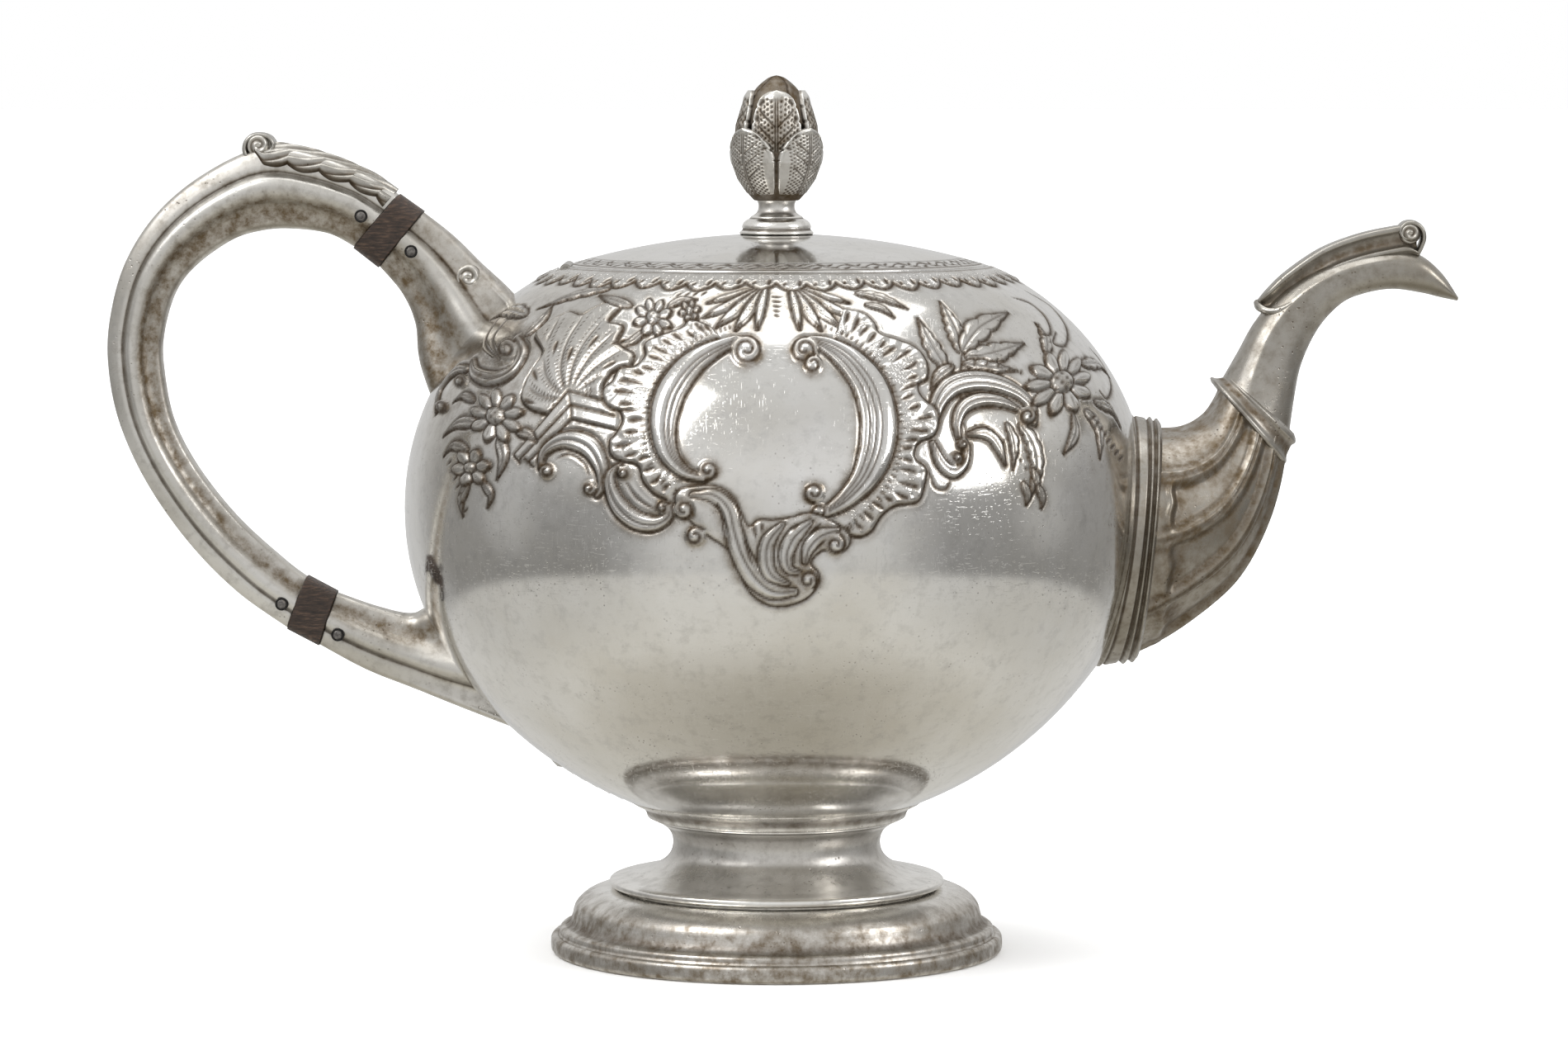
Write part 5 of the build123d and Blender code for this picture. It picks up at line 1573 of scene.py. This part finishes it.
def chase_apron(work):
    """The leafy apron that hangs under the cartouche."""
    edge = [
        (-18.9, 84.6), (-18.4, 87.0), (-15.5, 87.9), (-10.8, 87.7), (-7.9, 85.5), (-6.5, 82.7), (-5.1, 80.3),
        (-3.2, 81.5), (-0.3, 81.5), (2.9, 82.0), (6.0, 82.8), (9.2, 82.0), (12.2, 80.2), (14.0, 78.2),
        (13.2, 75.9), (11.1, 75.3), (8.6, 75.6), (6.6, 73.4), (8.0, 71.4), (8.0, 69.4), (6.0, 66.8),
        (2.4, 65.3), (-1.2, 65.3), (-4.1, 67.0), (-6.0, 69.4), (-7.4, 72.7), (-9.3, 76.0), (-12.4, 78.2),
        (-15.5, 80.6),
    ]
    outline = front(edge, closed=True)
    where, mask = work.region(outline)
    d, _ = work.distance_in(where, outline)
    work.lay(where, mask * smoothstep(0, 0.35, d), 0.28 + 0.34 * smoothstep(0, 2.2, d), 0.0, 0.0, 0.22)
    work.groove(outline, 0.27, 0.22, 0.95)
    for line, widths in (
        ([(-15.6, 86.2), (-11.6, 85.9), (-9.0, 83.4), (-8.0, 79.4), (-6.6, 75.0), (-4.0, 70.6), (-0.6, 68.0),
        (3.4, 68.0)], (0.5, 1.2, 1.5, 1.6, 1.8, 1.9, 1.5, 0.7)),
        ([(1.2, 80.6), (-1.4, 77.6), (-2.0, 74.0), (-0.8, 71.0), (2.0, 69.6)], (0.5, 1.2, 1.4, 1.2, 0.5)),
        ([(6.4, 81.0), (3.4, 78.4), (1.9, 75.2), (2.3, 72.4), (4.2, 71.6)], (0.5, 1.3, 1.4, 1.1, 0.5)),
        ([(11.6, 79.6), (8.4, 78.6), (6.2, 76.4), (5.4, 73.6)], (0.4, 1.2, 1.2, 0.5)),
    ):
        work.band(line, widths, 0.66, (0.1,), 0.22)
    for line in (
        [(-11.0, 84.4), (-9.4, 80.6), (-8.0, 77.0)], [(-6.0, 78.6), (-5.0, 74.6), (-3.4, 71.4)],
        [(-4.2, 80.4), (-3.6, 77.4)],
        [(-2.6, 80.6), (-2.6, 78.8)], [(8.2, 80.6), (5.6, 78.6)], [(4.4, 80.8), (2.6, 79.0)],
    ):
        work.dash(front(line), 0.32, 0.16)
    each(
        work.volute,
        ((-17.2, 83.4), 1.95, 3.6, 1),
        ((-15.1, 78.4), 1.9, 0.6, 1),
        ((6.0, 70.2), 1.85, 5.2, 1),
        ((11.1, 76.9), 2.0, 1.2, -1),
    )


def chase_left(work):
    """Shell, mitred bracket, flowers and scrolls between the handle and the cartouche."""
    work.fan(
        (-38.6, 104.4),
        [
            (-43.1, 101.2), (-45.8, 102.0), (-47.7, 104.1), (-46.9, 107.4), (-45.5, 109.8), (-43.8, 112.9),
            (-45.2, 115.8), (-43.1, 117.9), (-38.9, 120.3), (-36.5, 119.8), (-34.1, 121.0), (-31.2, 122.0),
            (-29.3, 121.2), (-31.3, 118.6), (-28.7, 117.7), (-29.6, 114.6), (-26.7, 112.6), (-27.2, 110.3),
            (-30.3, 109.3), (-32.4, 106.5), (-32.2, 104.1),
        ],
        9,
    )
    bars = (
        [(-49.3, 93.6), (-38.9, 105.6), (-32.0, 103.6)], [(-47.9, 92.9), (-38.5, 103.0), (-30.2, 100.9)],
        [(-46.5, 92.2), (-38.3, 100.3), (-30.2, 98.4)],
    )
    where, mask = work.region(straight([bars[0][0], bars[0][1], (-29.8, 103.2), (-29.8, 98.2), bars[2][1],
        (-45.6, 91.5)]))
    work.lay(where, mask, 0.30, 0.0, 0.0, 0.15)
    for bar in bars:
        work.groove(straight(bar), 0.30, 0.24, 0.97)
    each(
        work.groove,
        (straight([(-49.3, 93.6), (-48.1, 92.1)]), 0.28, 0.2),
        (straight([(-47.0, 92.9), (-45.6, 91.5)]), 0.28, 0.2),
        (straight([(-38.9, 105.6), (-38.4, 102.9), (-38.3, 100.3)]), 0.24, 0.16, 0.7),
    )
    each(
        work.leaf,
        ([(-46.6, 119.8), (-50.0, 120.6), (-53.6, 119.0)], 2.0, 4, 4),
        ([(-47.2, 115.8), (-44.0, 118.8), (-42.0, 121.6)], 1.5, 4),
    )
    work.band([(-56.9, 111.2), (-56.4, 109.0), (-53.2, 108.0), (-49.6, 109.4), (-47.7, 112.6),
        (-48.6, 115.2)], (0.8, 1.3, 1.6, 1.6, 1.3, 0.9), 0.65, (0.0,))
    work.volute((-50.3, 113.4), 2.0, 0.6, 1)
    each(
        work.groove,
        (front([(-52.7, 112.2), (-54.6, 114.6), (-52.7, 118.4), (-49.3, 121.7)]), 0.3, 0.2, 0.95,
        (0.6, 1, 1, 0.4)),
        (front([(-51.6, 111.6), (-53.2, 114.8), (-51.2, 118.2), (-47.6, 121.0)]), 0.26, 0.16, 0.85,
        (0.6, 1, 1, 0.3)),
    )
    work.band([(-63.8, 101.7), (-63.1, 105.5), (-60.3, 109.3), (-57.9, 109.8)], (0.5, 1.1, 1.3, 0.8), 0.55,
        (0.0,))
    each(work.volute, ((-59.1, 107.5), 1.3, 1.5, 1), ((-62.7, 102.7), 1.2, 3.0, 1))
    for line, width in (
        ([(-52.4, 96.8), (-51.2, 93.4), (-52.6, 88.6)], 1.5),
        ([(-57.6, 88.4), (-59.1, 85.4), (-58.8, 81.8)], 1.3),
        ([(-55.6, 99.6), (-59.6, 99.6), (-62.6, 97.0)], 1.3),
        ([(-57.6, 94.4), (-60.6, 95.4), (-62.6, 93.2)], 1.1),
        ([(-55.4, 88.6), (-53.6, 86.2), (-54.4, 83.4)], 1.0),
        ([(-49.0, 98.2), (-46.2, 97.4), (-44.6, 95.8)], 1.1),
        ([(-56.4, 103.6), (-58.6, 104.8), (-60.8, 103.4)], 1.0),
    ):
        work.leaf(line, width, 3)
    for i in range(7):
        x, z = -61.0 + 0.5 * i, 92.6 - 1.5 * i
        work.dash(front([(x, z), (x - 0.9, z - 0.9)]), 0.32, 0.15)
    each(work.daisy, ((-52.7, 101.0), 5.2, 9, 1.75, 0.2), ((-57.4, 91.3), 3.7, 6, 1.1, 0.4))
    each(
        work.leaf,
        ([(-26.8, 121.4), (-30.0, 122.4), (-33.4, 123.6)], 1.3, 3),
        ([(-20.4, 121.2), (-17.8, 122.6), (-14.6, 122.8)], 1.2, 3),
        ([(-24.6, 117.2), (-27.0, 115.0), (-30.2, 114.2)], 1.1, 3),
    )
    each(work.daisy, ((-23.1, 119.4), 3.8, 8, 1.3, 0.1), ((-16.2, 120.6), 2.1, 6, 0.75, 0.3))
    small = [
        ([(-44.3, 91.3), (-43.6, 94.1), (-41.2, 96.0), (-38.4, 96.5), (-35.0, 95.1), (-32.9, 91.7),
        (-32.6, 88.4), (-33.6, 86.2)], (0.5, 1.0, 1.5, 1.8, 1.9, 1.7, 1.2, 0.6)),
        ([(-29.4, 91.7), (-31.0, 90.0), (-31.0, 87.2), (-29.4, 83.9), (-26.4, 81.4), (-22.9, 80.7),
        (-20.3, 82.0), (-19.8, 84.1)], (0.5, 1.0, 1.4, 1.7, 1.7, 1.5, 1.0, 0.5)),
    ]
    for line, widths in small:
        work.band(line, widths, 0.7, (-0.1,))
    each(
        work.volute,
        ((-42.9, 90.6), 1.5, 3.1, -1),
        ((-34.9, 87.3), 1.35, 0.0, -1),
        ((-28.6, 90.3), 1.25, 2.2, 1),
        ((-21.2, 83.8), 1.3, 0.2, 1),
    )
    each(
        work.groove,
        (front([(-41.7, 92.6), (-38.9, 93.8), (-36.0, 92.0), (-35.2, 89.8)]), 0.28, 0.18, 0.85,
        (0.3, 1, 1, 0.5)),
        (front([(-28.1, 88.4), (-26.0, 85.4), (-22.7, 83.4)]), 0.28, 0.18, 0.85, (0.5, 1, 0.4)),
    )


def chase_right(work):
    """Acanthus scroll, leaves and the large flower between the cartouche and the spout."""
    for line, width, lobes in (
        ([(32.6, 108.6), (29.6, 113.4), (26.4, 119.6)], 2.0, 5),
        ([(34.6, 112.4), (33.6, 117.0), (30.6, 122.6)], 2.2, 6),
        ([(34.6, 112.8), (38.0, 117.4), (43.6, 120.4)], 2.6, 4),
        ([(35.2, 112.0), (40.0, 112.6), (46.6, 114.6)], 2.4, 5),
        ([(34.8, 110.8), (39.6, 110.2), (45.4, 109.4)], 1.6, 4),
        ([(33.4, 110.6), (30.4, 108.4), (28.9, 105.6)], 1.2, 0),
        ([(57.6, 102.2), (60.4, 98.6), (60.8, 92.6)], 1.7, 5),
        ([(51.2, 103.2), (49.4, 106.0), (47.2, 107.8)], 1.2, 0),
        ([(50.6, 112.2), (50.4, 115.6), (48.4, 118.6)], 1.5, 4),
        ([(57.0, 110.6), (60.2, 110.6), (62.6, 108.0)], 1.5, 4),
        ([(59.4, 103.6), (62.6, 102.2), (64.6, 98.6)], 1.3, 4),
        ([(55.6, 101.6), (56.0, 97.6), (53.8, 93.6)], 1.2, 0),
    ):
        work.leaf(line, width, 4, lobes=lobes)
    work.groove(front([(36.0, 96.6), (35.0, 101.0), (34.6, 106.0), (34.8, 112.4)]), 0.34, 0.2, 0.9,
        (0.4, 1, 1, 0.6))
    work.band([(36.2, 97.5), (39.2, 97.7), (41.4, 95.9), (43.0, 91.9)], (0.5, 1.2, 1.2, 0.3), 0.5, (0.0,))
    each(
        work.leaf,
        ([(45.2, 99.8), (47.9, 96.3), (48.9, 91.5), (47.6, 84.9)], 2.2, 6, 7),
        ([(43.0, 100.0), (44.6, 96.0), (44.4, 90.5)], 1.3, 4, 4),
    )
    outer = [
        (29.6, 98.4), (30.2, 103.0), (32.6, 106.3), (36.6, 107.6), (41.0, 107.2), (45.2, 105.4),
        (48.0, 102.6), (48.4, 99.8),
    ]
    work.band(outer, (0.6, 1.4, 1.9, 2.1, 2.1, 1.9, 1.5, 0.8), 0.75, (-0.25, 0.35))
    inner = [(34.4, 96.4), (33.9, 99.6), (35.2, 102.6), (38.2, 104.0), (42.0, 103.7), (45.4, 102.2)]
    work.band(inner, (0.5, 1.0, 1.3, 1.4, 1.2, 0.6), 0.7, (0.1,))
    work.volute((46.9, 100.9), 1.8, 0.6, -1)
    lower = [(29.4, 95.8), (31.0, 92.2), (33.2, 90.6), (35.2, 92.4), (35.9, 95.4)]
    work.band(lower, (0.6, 1.1, 1.3, 1.1, 0.6), 0.65, (0.0,))
    work.groove(front([(28.6, 91.1), (29.8, 87.7), (31.8, 87.2), (32.9, 89.3)]), 0.28, 0.2, 0.95,
        (0.4, 1, 1, 0.5))
    each(work.volute, ((34.9, 95.6), 1.2, 1.6, 1), ((33.8, 93.0), 1.25, 4.6, 1))
    for i in range(7):
        x = 32.6 + 2.2 * i
        z = 109.4 - 0.045 * (i - 2) ** 2 * 2
        work.dash(front([(x, z + 0.9), (x + 0.4, z + 2.4 - 0.1 * i)]), 0.30, 0.15, 0.8)
    for i in range(11):
        x, z = 37.4 + 1.05 * i, 99.2 - 0.13 * i - 0.085 * i * i
        work.dash(front([(x, z), (x + 0.55, z - 0.30 - 0.02 * i)]), 0.34, 0.16)
    for x, z in ((49.0, 88.6), (47.2, 86.2), (50.0, 85.6)):
        work.leaf([(x - 1.1, z + 2.6), (x, z), (x - 0.3, z - 2.4)], 1.0, 2)
    for line in (
        [(44.0, 123.2), (47.6, 122.0), (50.6, 119.2), (51.4, 116.4), (49.4, 116.2), (49.2, 118.2)],
        [(46.6, 124.4), (51.4, 121.4), (54.4, 117.4), (54.2, 114.2), (52.0, 114.6), (52.4, 116.6)],
        [(58.6, 113.8), (61.0, 110.8), (62.8, 106.6), (62.0, 104.2), (60.6, 105.6)],
    ):
        work.groove(front(line), 0.34, 0.2, 0.95, (0.3, 1, 1, 1, 0.6))
    for i in range(8):
        x, z = 59.0 + 0.75 * i, 100.4 - 1.1 * i
        work.dash(front([(x, z), (x + 1.0, z + 0.9)]), 0.32, 0.15)
    work.daisy((53.6, 107.4), 6.2, 10, 2.1, 0.15)


def chase_top(work):
    """Two feathered wings under the border above the cartouche, and loose leaves on each side."""
    middle = 0.4
    feathers = (
        ((8.2, 123.6), (13.2, 122.2), 1.0), ((8.0, 122.3), (14.0, 119.4), 1.25),
        ((6.8, 121.6), (11.6, 117.6), 1.25), ((5.0, 121.4), (8.0, 117.0), 1.15),
        ((3.2, 121.6), (4.0, 117.2), 0.85),
    )
    for side in (-1, 1):
        for (x1, z1), (x2, z2), width in feathers:
            root, bend, tip = (middle + side * 2.2, 125.2), (middle + side * x1, z1), (middle + side * x2, z2)
            line = [root, bend, tip]
            work.band(line, (0.3, 0.8 * width, width, 0.9 * width, 0.25), 0.34, (), 0.24)
            where, d, t, _ = work.field(front(line), width)
            dotted = 0.9 * bell(d, width * 0.6) * smoothstep(0.05, 0.2, t) * smoothstep(0.8, 0.65, t)
            work.mark(where, stipple=dotted)
            heel = (tip[0] * 0.6 + bend[0] * 0.4, tip[1] * 0.6 + bend[1] * 0.4)
            work.dash(front([tip, ((tip[0] + heel[0]) / 2, (tip[1] + heel[1]) / 2), heel]), 0.40, 0.18)
    for i in range(5):
        reach, z = 1.1 - 0.12 * i, 123.4 - 0.9 * i
        work.dash(front([(middle - reach, z), (middle, z - 0.15), (middle + reach, z)]), 0.30, 0.15)
    each(
        work.leaf,
        ([(14.6, 124.0), (19.4, 123.2), (25.0, 120.9)], 1.5, 5, 5),
        ([(16.4, 121.8), (19.6, 121.2), (22.4, 119.2)], 1.0, 3),
        ([(-30.8, 124.8), (-37.4, 123.6), (-45.0, 120.9)], 1.4, 5, 5),
    )
    for i in range(4):
        x = -13.2 - 1.6 * i
        work.dash(front([(x, 124.2 - 0.1 * i), (x - 1.1, 123.4 - 0.1 * i)]), 0.30, 0.14)


def chase_pot():
    """The whole map. The order counts, because later strokes lie over earlier ones."""
    work = Chasing()
    for chase in (chase_top, chase_left, chase_right, chase_cartouche, chase_apron, chase_border):
        chase(work)
    uu, ss = np.meshgrid(work.u, work.s)
    # Browner and darker towards both sides of the front, most near the handle: patina there, and painted
    # shade where the sides turn away from the light.
    side_patina_and_shade = 0.85 * bell(uu + 72, 22) * bell(ss - 26, 17) + 0.35 * bell(uu - 76, 16) * bell(ss - 34, 20)
    work.halo = np.maximum(work.halo, side_patina_and_shade)
    return work


def chase_lid(s_rows, u_columns):
    """A hair line inside the lid's edge, and a running border of small leaves and drops next to it."""
    s = s_rows[:, None]
    beats = 40
    beat = (u_columns / BELLY_R / TAU * beats)[None, :] % 1
    relief = -0.10 * bell(s - 0.95, 0.16) - 0.09 * bell(s - 4.9, 0.14)
    dark = np.maximum(0.85 * bell(s - 0.95, 0.20), 0.6 * bell(s - 4.9, 0.17)) + 0 * beat
    pitch = TAU * 37.0 / beats
    x = (beat - 0.5) * pitch
    wave = 2.95 + 0.85 * np.sin(TAU * beat)
    stem = bell(s - wave, 0.24)
    marks = stem
    for cx, cs, tilt, length, width in ((-1.3, 2.2, 0.7, 1.1, 0.34), (-0.2, 3.9, -0.6, 1.1, 0.34),
            (1.5, 3.7, 0.8, 0.95, 0.3), (2.3, 2.1, -0.5, 0.8, 0.26)):
        dx, ds = x - cx, s - cs
        along = dx * math.cos(tilt) + ds * math.sin(tilt)
        across = -dx * math.sin(tilt) + ds * math.cos(tilt)
        petal = np.exp(-((along / length) ** 4) - (across / (width * (1.05 - 0.45 * np.clip(along / length,
            -1, 1)))) ** 2)
        marks = np.maximum(marks, petal)
    relief = relief - 0.12 * marks
    dark = np.maximum(dark, marks)
    # Painted shade with patina along the lid's edge line, round the small leaves, and faintly over the
    # border.
    halo = np.clip(0.55 * bell(s - 1.0, 0.8) + 0.5 * marks + 0.10 * bell(s - 3, 2.2), 0, 1) + 0 * beat
    fade = smoothstep(0.0, 0.3, s)
    return (relief + 0 * beat) * fade, {"tarnish": np.clip(1.3 * dark, 0, 1), "halo": halo,
        "stipple": np.zeros(dark.shape)}


# ------------------------------------------------------------------ the scene
def studio_world():
    """White where the camera looks past the pot; for reflections, a studio with bright and grey walls."""
    world = bpy.data.worlds.new("studio")
    world.use_nodes = True
    tree = world.node_tree
    back = tree.nodes["Background"]
    coords = tree.nodes.new("ShaderNodeTexCoord")
    split = tree.nodes.new("ShaderNodeSeparateXYZ")
    link(tree, coords.outputs["Generated"], split.inputs["Vector"])
    x, y, z = (split.outputs[k] for k in "XYZ")
    lift = sum_of(tree, sum_of(tree, z, 0.5, "MULTIPLY"), 0.5)
    tall = ramp(
        tree, lift,
        [
            (0.00, (0.46, 0.43, 0.36)), (0.04, (0.60, 0.57, 0.50)), (0.12, (0.78, 0.76, 0.70)),
            (0.26, (0.82, 0.81, 0.77)),
            (0.325, (0.82, 0.81, 0.78)), (0.345, (0.72, 0.72, 0.71)), (0.52, (0.78, 0.78, 0.78)),
            (0.70, (0.92, 0.92, 0.92)),
            (0.86, (0.80, 0.80, 0.80)), (1.00, (0.84, 0.84, 0.83)),
        ],
    )
    sideways = sum_of(tree, x, 0, "ABSOLUTE")
    wall = ramp(tree, sideways, [(0.52, 0.0), (0.80, 1.0), (0.97, 1.0), (1.0, 0.6)])
    low = ramp(tree, lift, [(0.08, 0.0), (0.20, 0.26), (0.325, 0.30), (0.345, 1.0), (0.56, 0.85),
        (0.70, 0.15), (0.8, 0.0)])
    dark = sum_of(tree, wall, low, "MULTIPLY")
    reflected = mixed(tree, sum_of(tree, dark, 0.82, "MULTIPLY"), tall, (0.23, 0.225, 0.215))
    behind = ramp(tree, sum_of(tree, sum_of(tree, y, 0.5, "MULTIPLY"), 0.5), [(0.55, 0.0), (0.95, 0.25)])
    reflected = mixed(tree, behind, reflected, (0.34, 0.33, 0.31))
    path = tree.nodes.new("ShaderNodeLightPath")
    link(tree, mixed(tree, path.outputs["Is Camera Ray"], reflected, (1.0, 1.0, 1.0)), back.inputs["Color"])
    back.inputs["Strength"].default_value = 1.0
    return world


def make_room():
    scene = bpy.context.scene
    floor_mat, tree, shader = nodes_of("pale_floor")
    dust = texture(tree, "ShaderNodeTexNoise", 0.01, Detail=3.0)
    link(tree, ramp(tree, dust.outputs["Fac"], [(0.3, 0.915), (0.7, 0.93)]), shader.inputs["Base Color"])
    shader.inputs["Roughness"].default_value = 0.8
    shader.inputs["Specular IOR Level"].default_value = 0.1
    bpy.ops.mesh.primitive_plane_add(size=60.0, location=(0, 0, -0.0002))
    floor = bpy.context.object
    floor.name = "floor"
    floor.data.materials.append(floor_mat)
    floor.visible_glossy = False
    scene.world = studio_world()
    for name, place, size, power in (
        ("key_softbox", (-1.3, -1.0, 1.7), (1.2, 1.0), 20.0),
        ("fill_softbox", (1.9, -0.9, 1.1), (0.8, 1.1), 13.0),
        ("top_softbox", (0.0, 0.3, 1.9), (1.6, 1.2), 10.0),
    ):
        data = bpy.data.lights.new(name, "AREA")
        data.shape = "RECTANGLE"
        data.size, data.size_y = size
        data.energy = power
        lamp = bpy.data.objects.new(name, data)
        lamp.location = place
        away = np.array(place) - np.array((0, 0, 0.08))
        tilt, turn = math.atan2(math.hypot(away[0], away[1]), away[2]), math.atan2(away[1], away[0])
        lamp.rotation_euler = (tilt, 0, turn + math.pi / 2)
        scene.collection.objects.link(lamp)
    sun = bpy.data.objects.new("floor_sun", bpy.data.lights.new("floor_sun", "SUN"))
    sun.data.energy = 2.4
    sun.data.angle = math.radians(100)
    sun.visible_glossy = False
    scene.collection.objects.link(sun)
    camera = bpy.data.objects.new("camera", bpy.data.cameras.new("camera"))
    camera.data.lens = FOCAL_LENGTH
    camera.data.sensor_width = SENSOR_WIDTH
    camera.data.clip_end = 50.0
    camera.location = (0.0014, -CAMERA_DISTANCE * MM, EYE_HEIGHT * MM)
    camera.rotation_euler = (math.radians(90 - CAMERA_TILT), 0, 0)
    scene.collection.objects.link(camera)
    scene.camera = camera
    scene.view_settings.view_transform = "Standard"


def finish_cad_nodes():
    """Materials for the CAD solids that are shown as they are."""
    for node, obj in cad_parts.items():
        if node.endswith("_pin") and node != "hinge_pin":
            material = STEEL
        elif node in ("hinge_pin", "hinge_body_leaf", "hinge_lid_leaf"):
            material = CAST
        else:
            material = INSIDE
        for slot in obj.material_slots:
            slot.material = material


make_room()
finish_cad_nodes()
make_foot()
make_spout()
make_handle()
make_finial()
# Rows are close together where the skins are chased, and wide apart where they are plain.
SKIN_COLUMNS = 1360
CHASED_TO = 84.0
FIRST_ROW = 0.02
HINGE_SLOT_IN_BODY = -41.2
HINGE_SLOT_IN_LID = -38.0
COLUMNS = (np.arange(SKIN_COLUMNS) / SKIN_COLUMNS - 0.5) * TAU * BELLY_R
CHASED = chase_pot()
CHASED_ROWS = np.arange(FIRST_ROW, POT_S[-1], 0.32)
CHASED_ROWS = CHASED_ROWS[CHASED_ROWS < CHASED_TO]
BODY_ROWS = np.r_[CHASED_ROWS, np.arange(CHASED_TO + 2, POT_S[-1] - 12, 2.5)]
LID_ROWS = np.r_[np.arange(FIRST_ROW, 6.4, 0.22), np.arange(6.6, LID_S[-1] - 6.5, 1.2)]
skin(
    "body_skin", "pot", POT_LINE, normals_of(POT_LINE), BODY_ROWS, COLUMNS, CHASED.sample,
    (HINGE_SLOT_IN_BODY, True)
)
skin(
    "lid_skin", "lid", LID_LINE, -normals_of(LID_LINE), LID_ROWS, COLUMNS, chase_lid,
    (HINGE_SLOT_IN_LID, False)
)
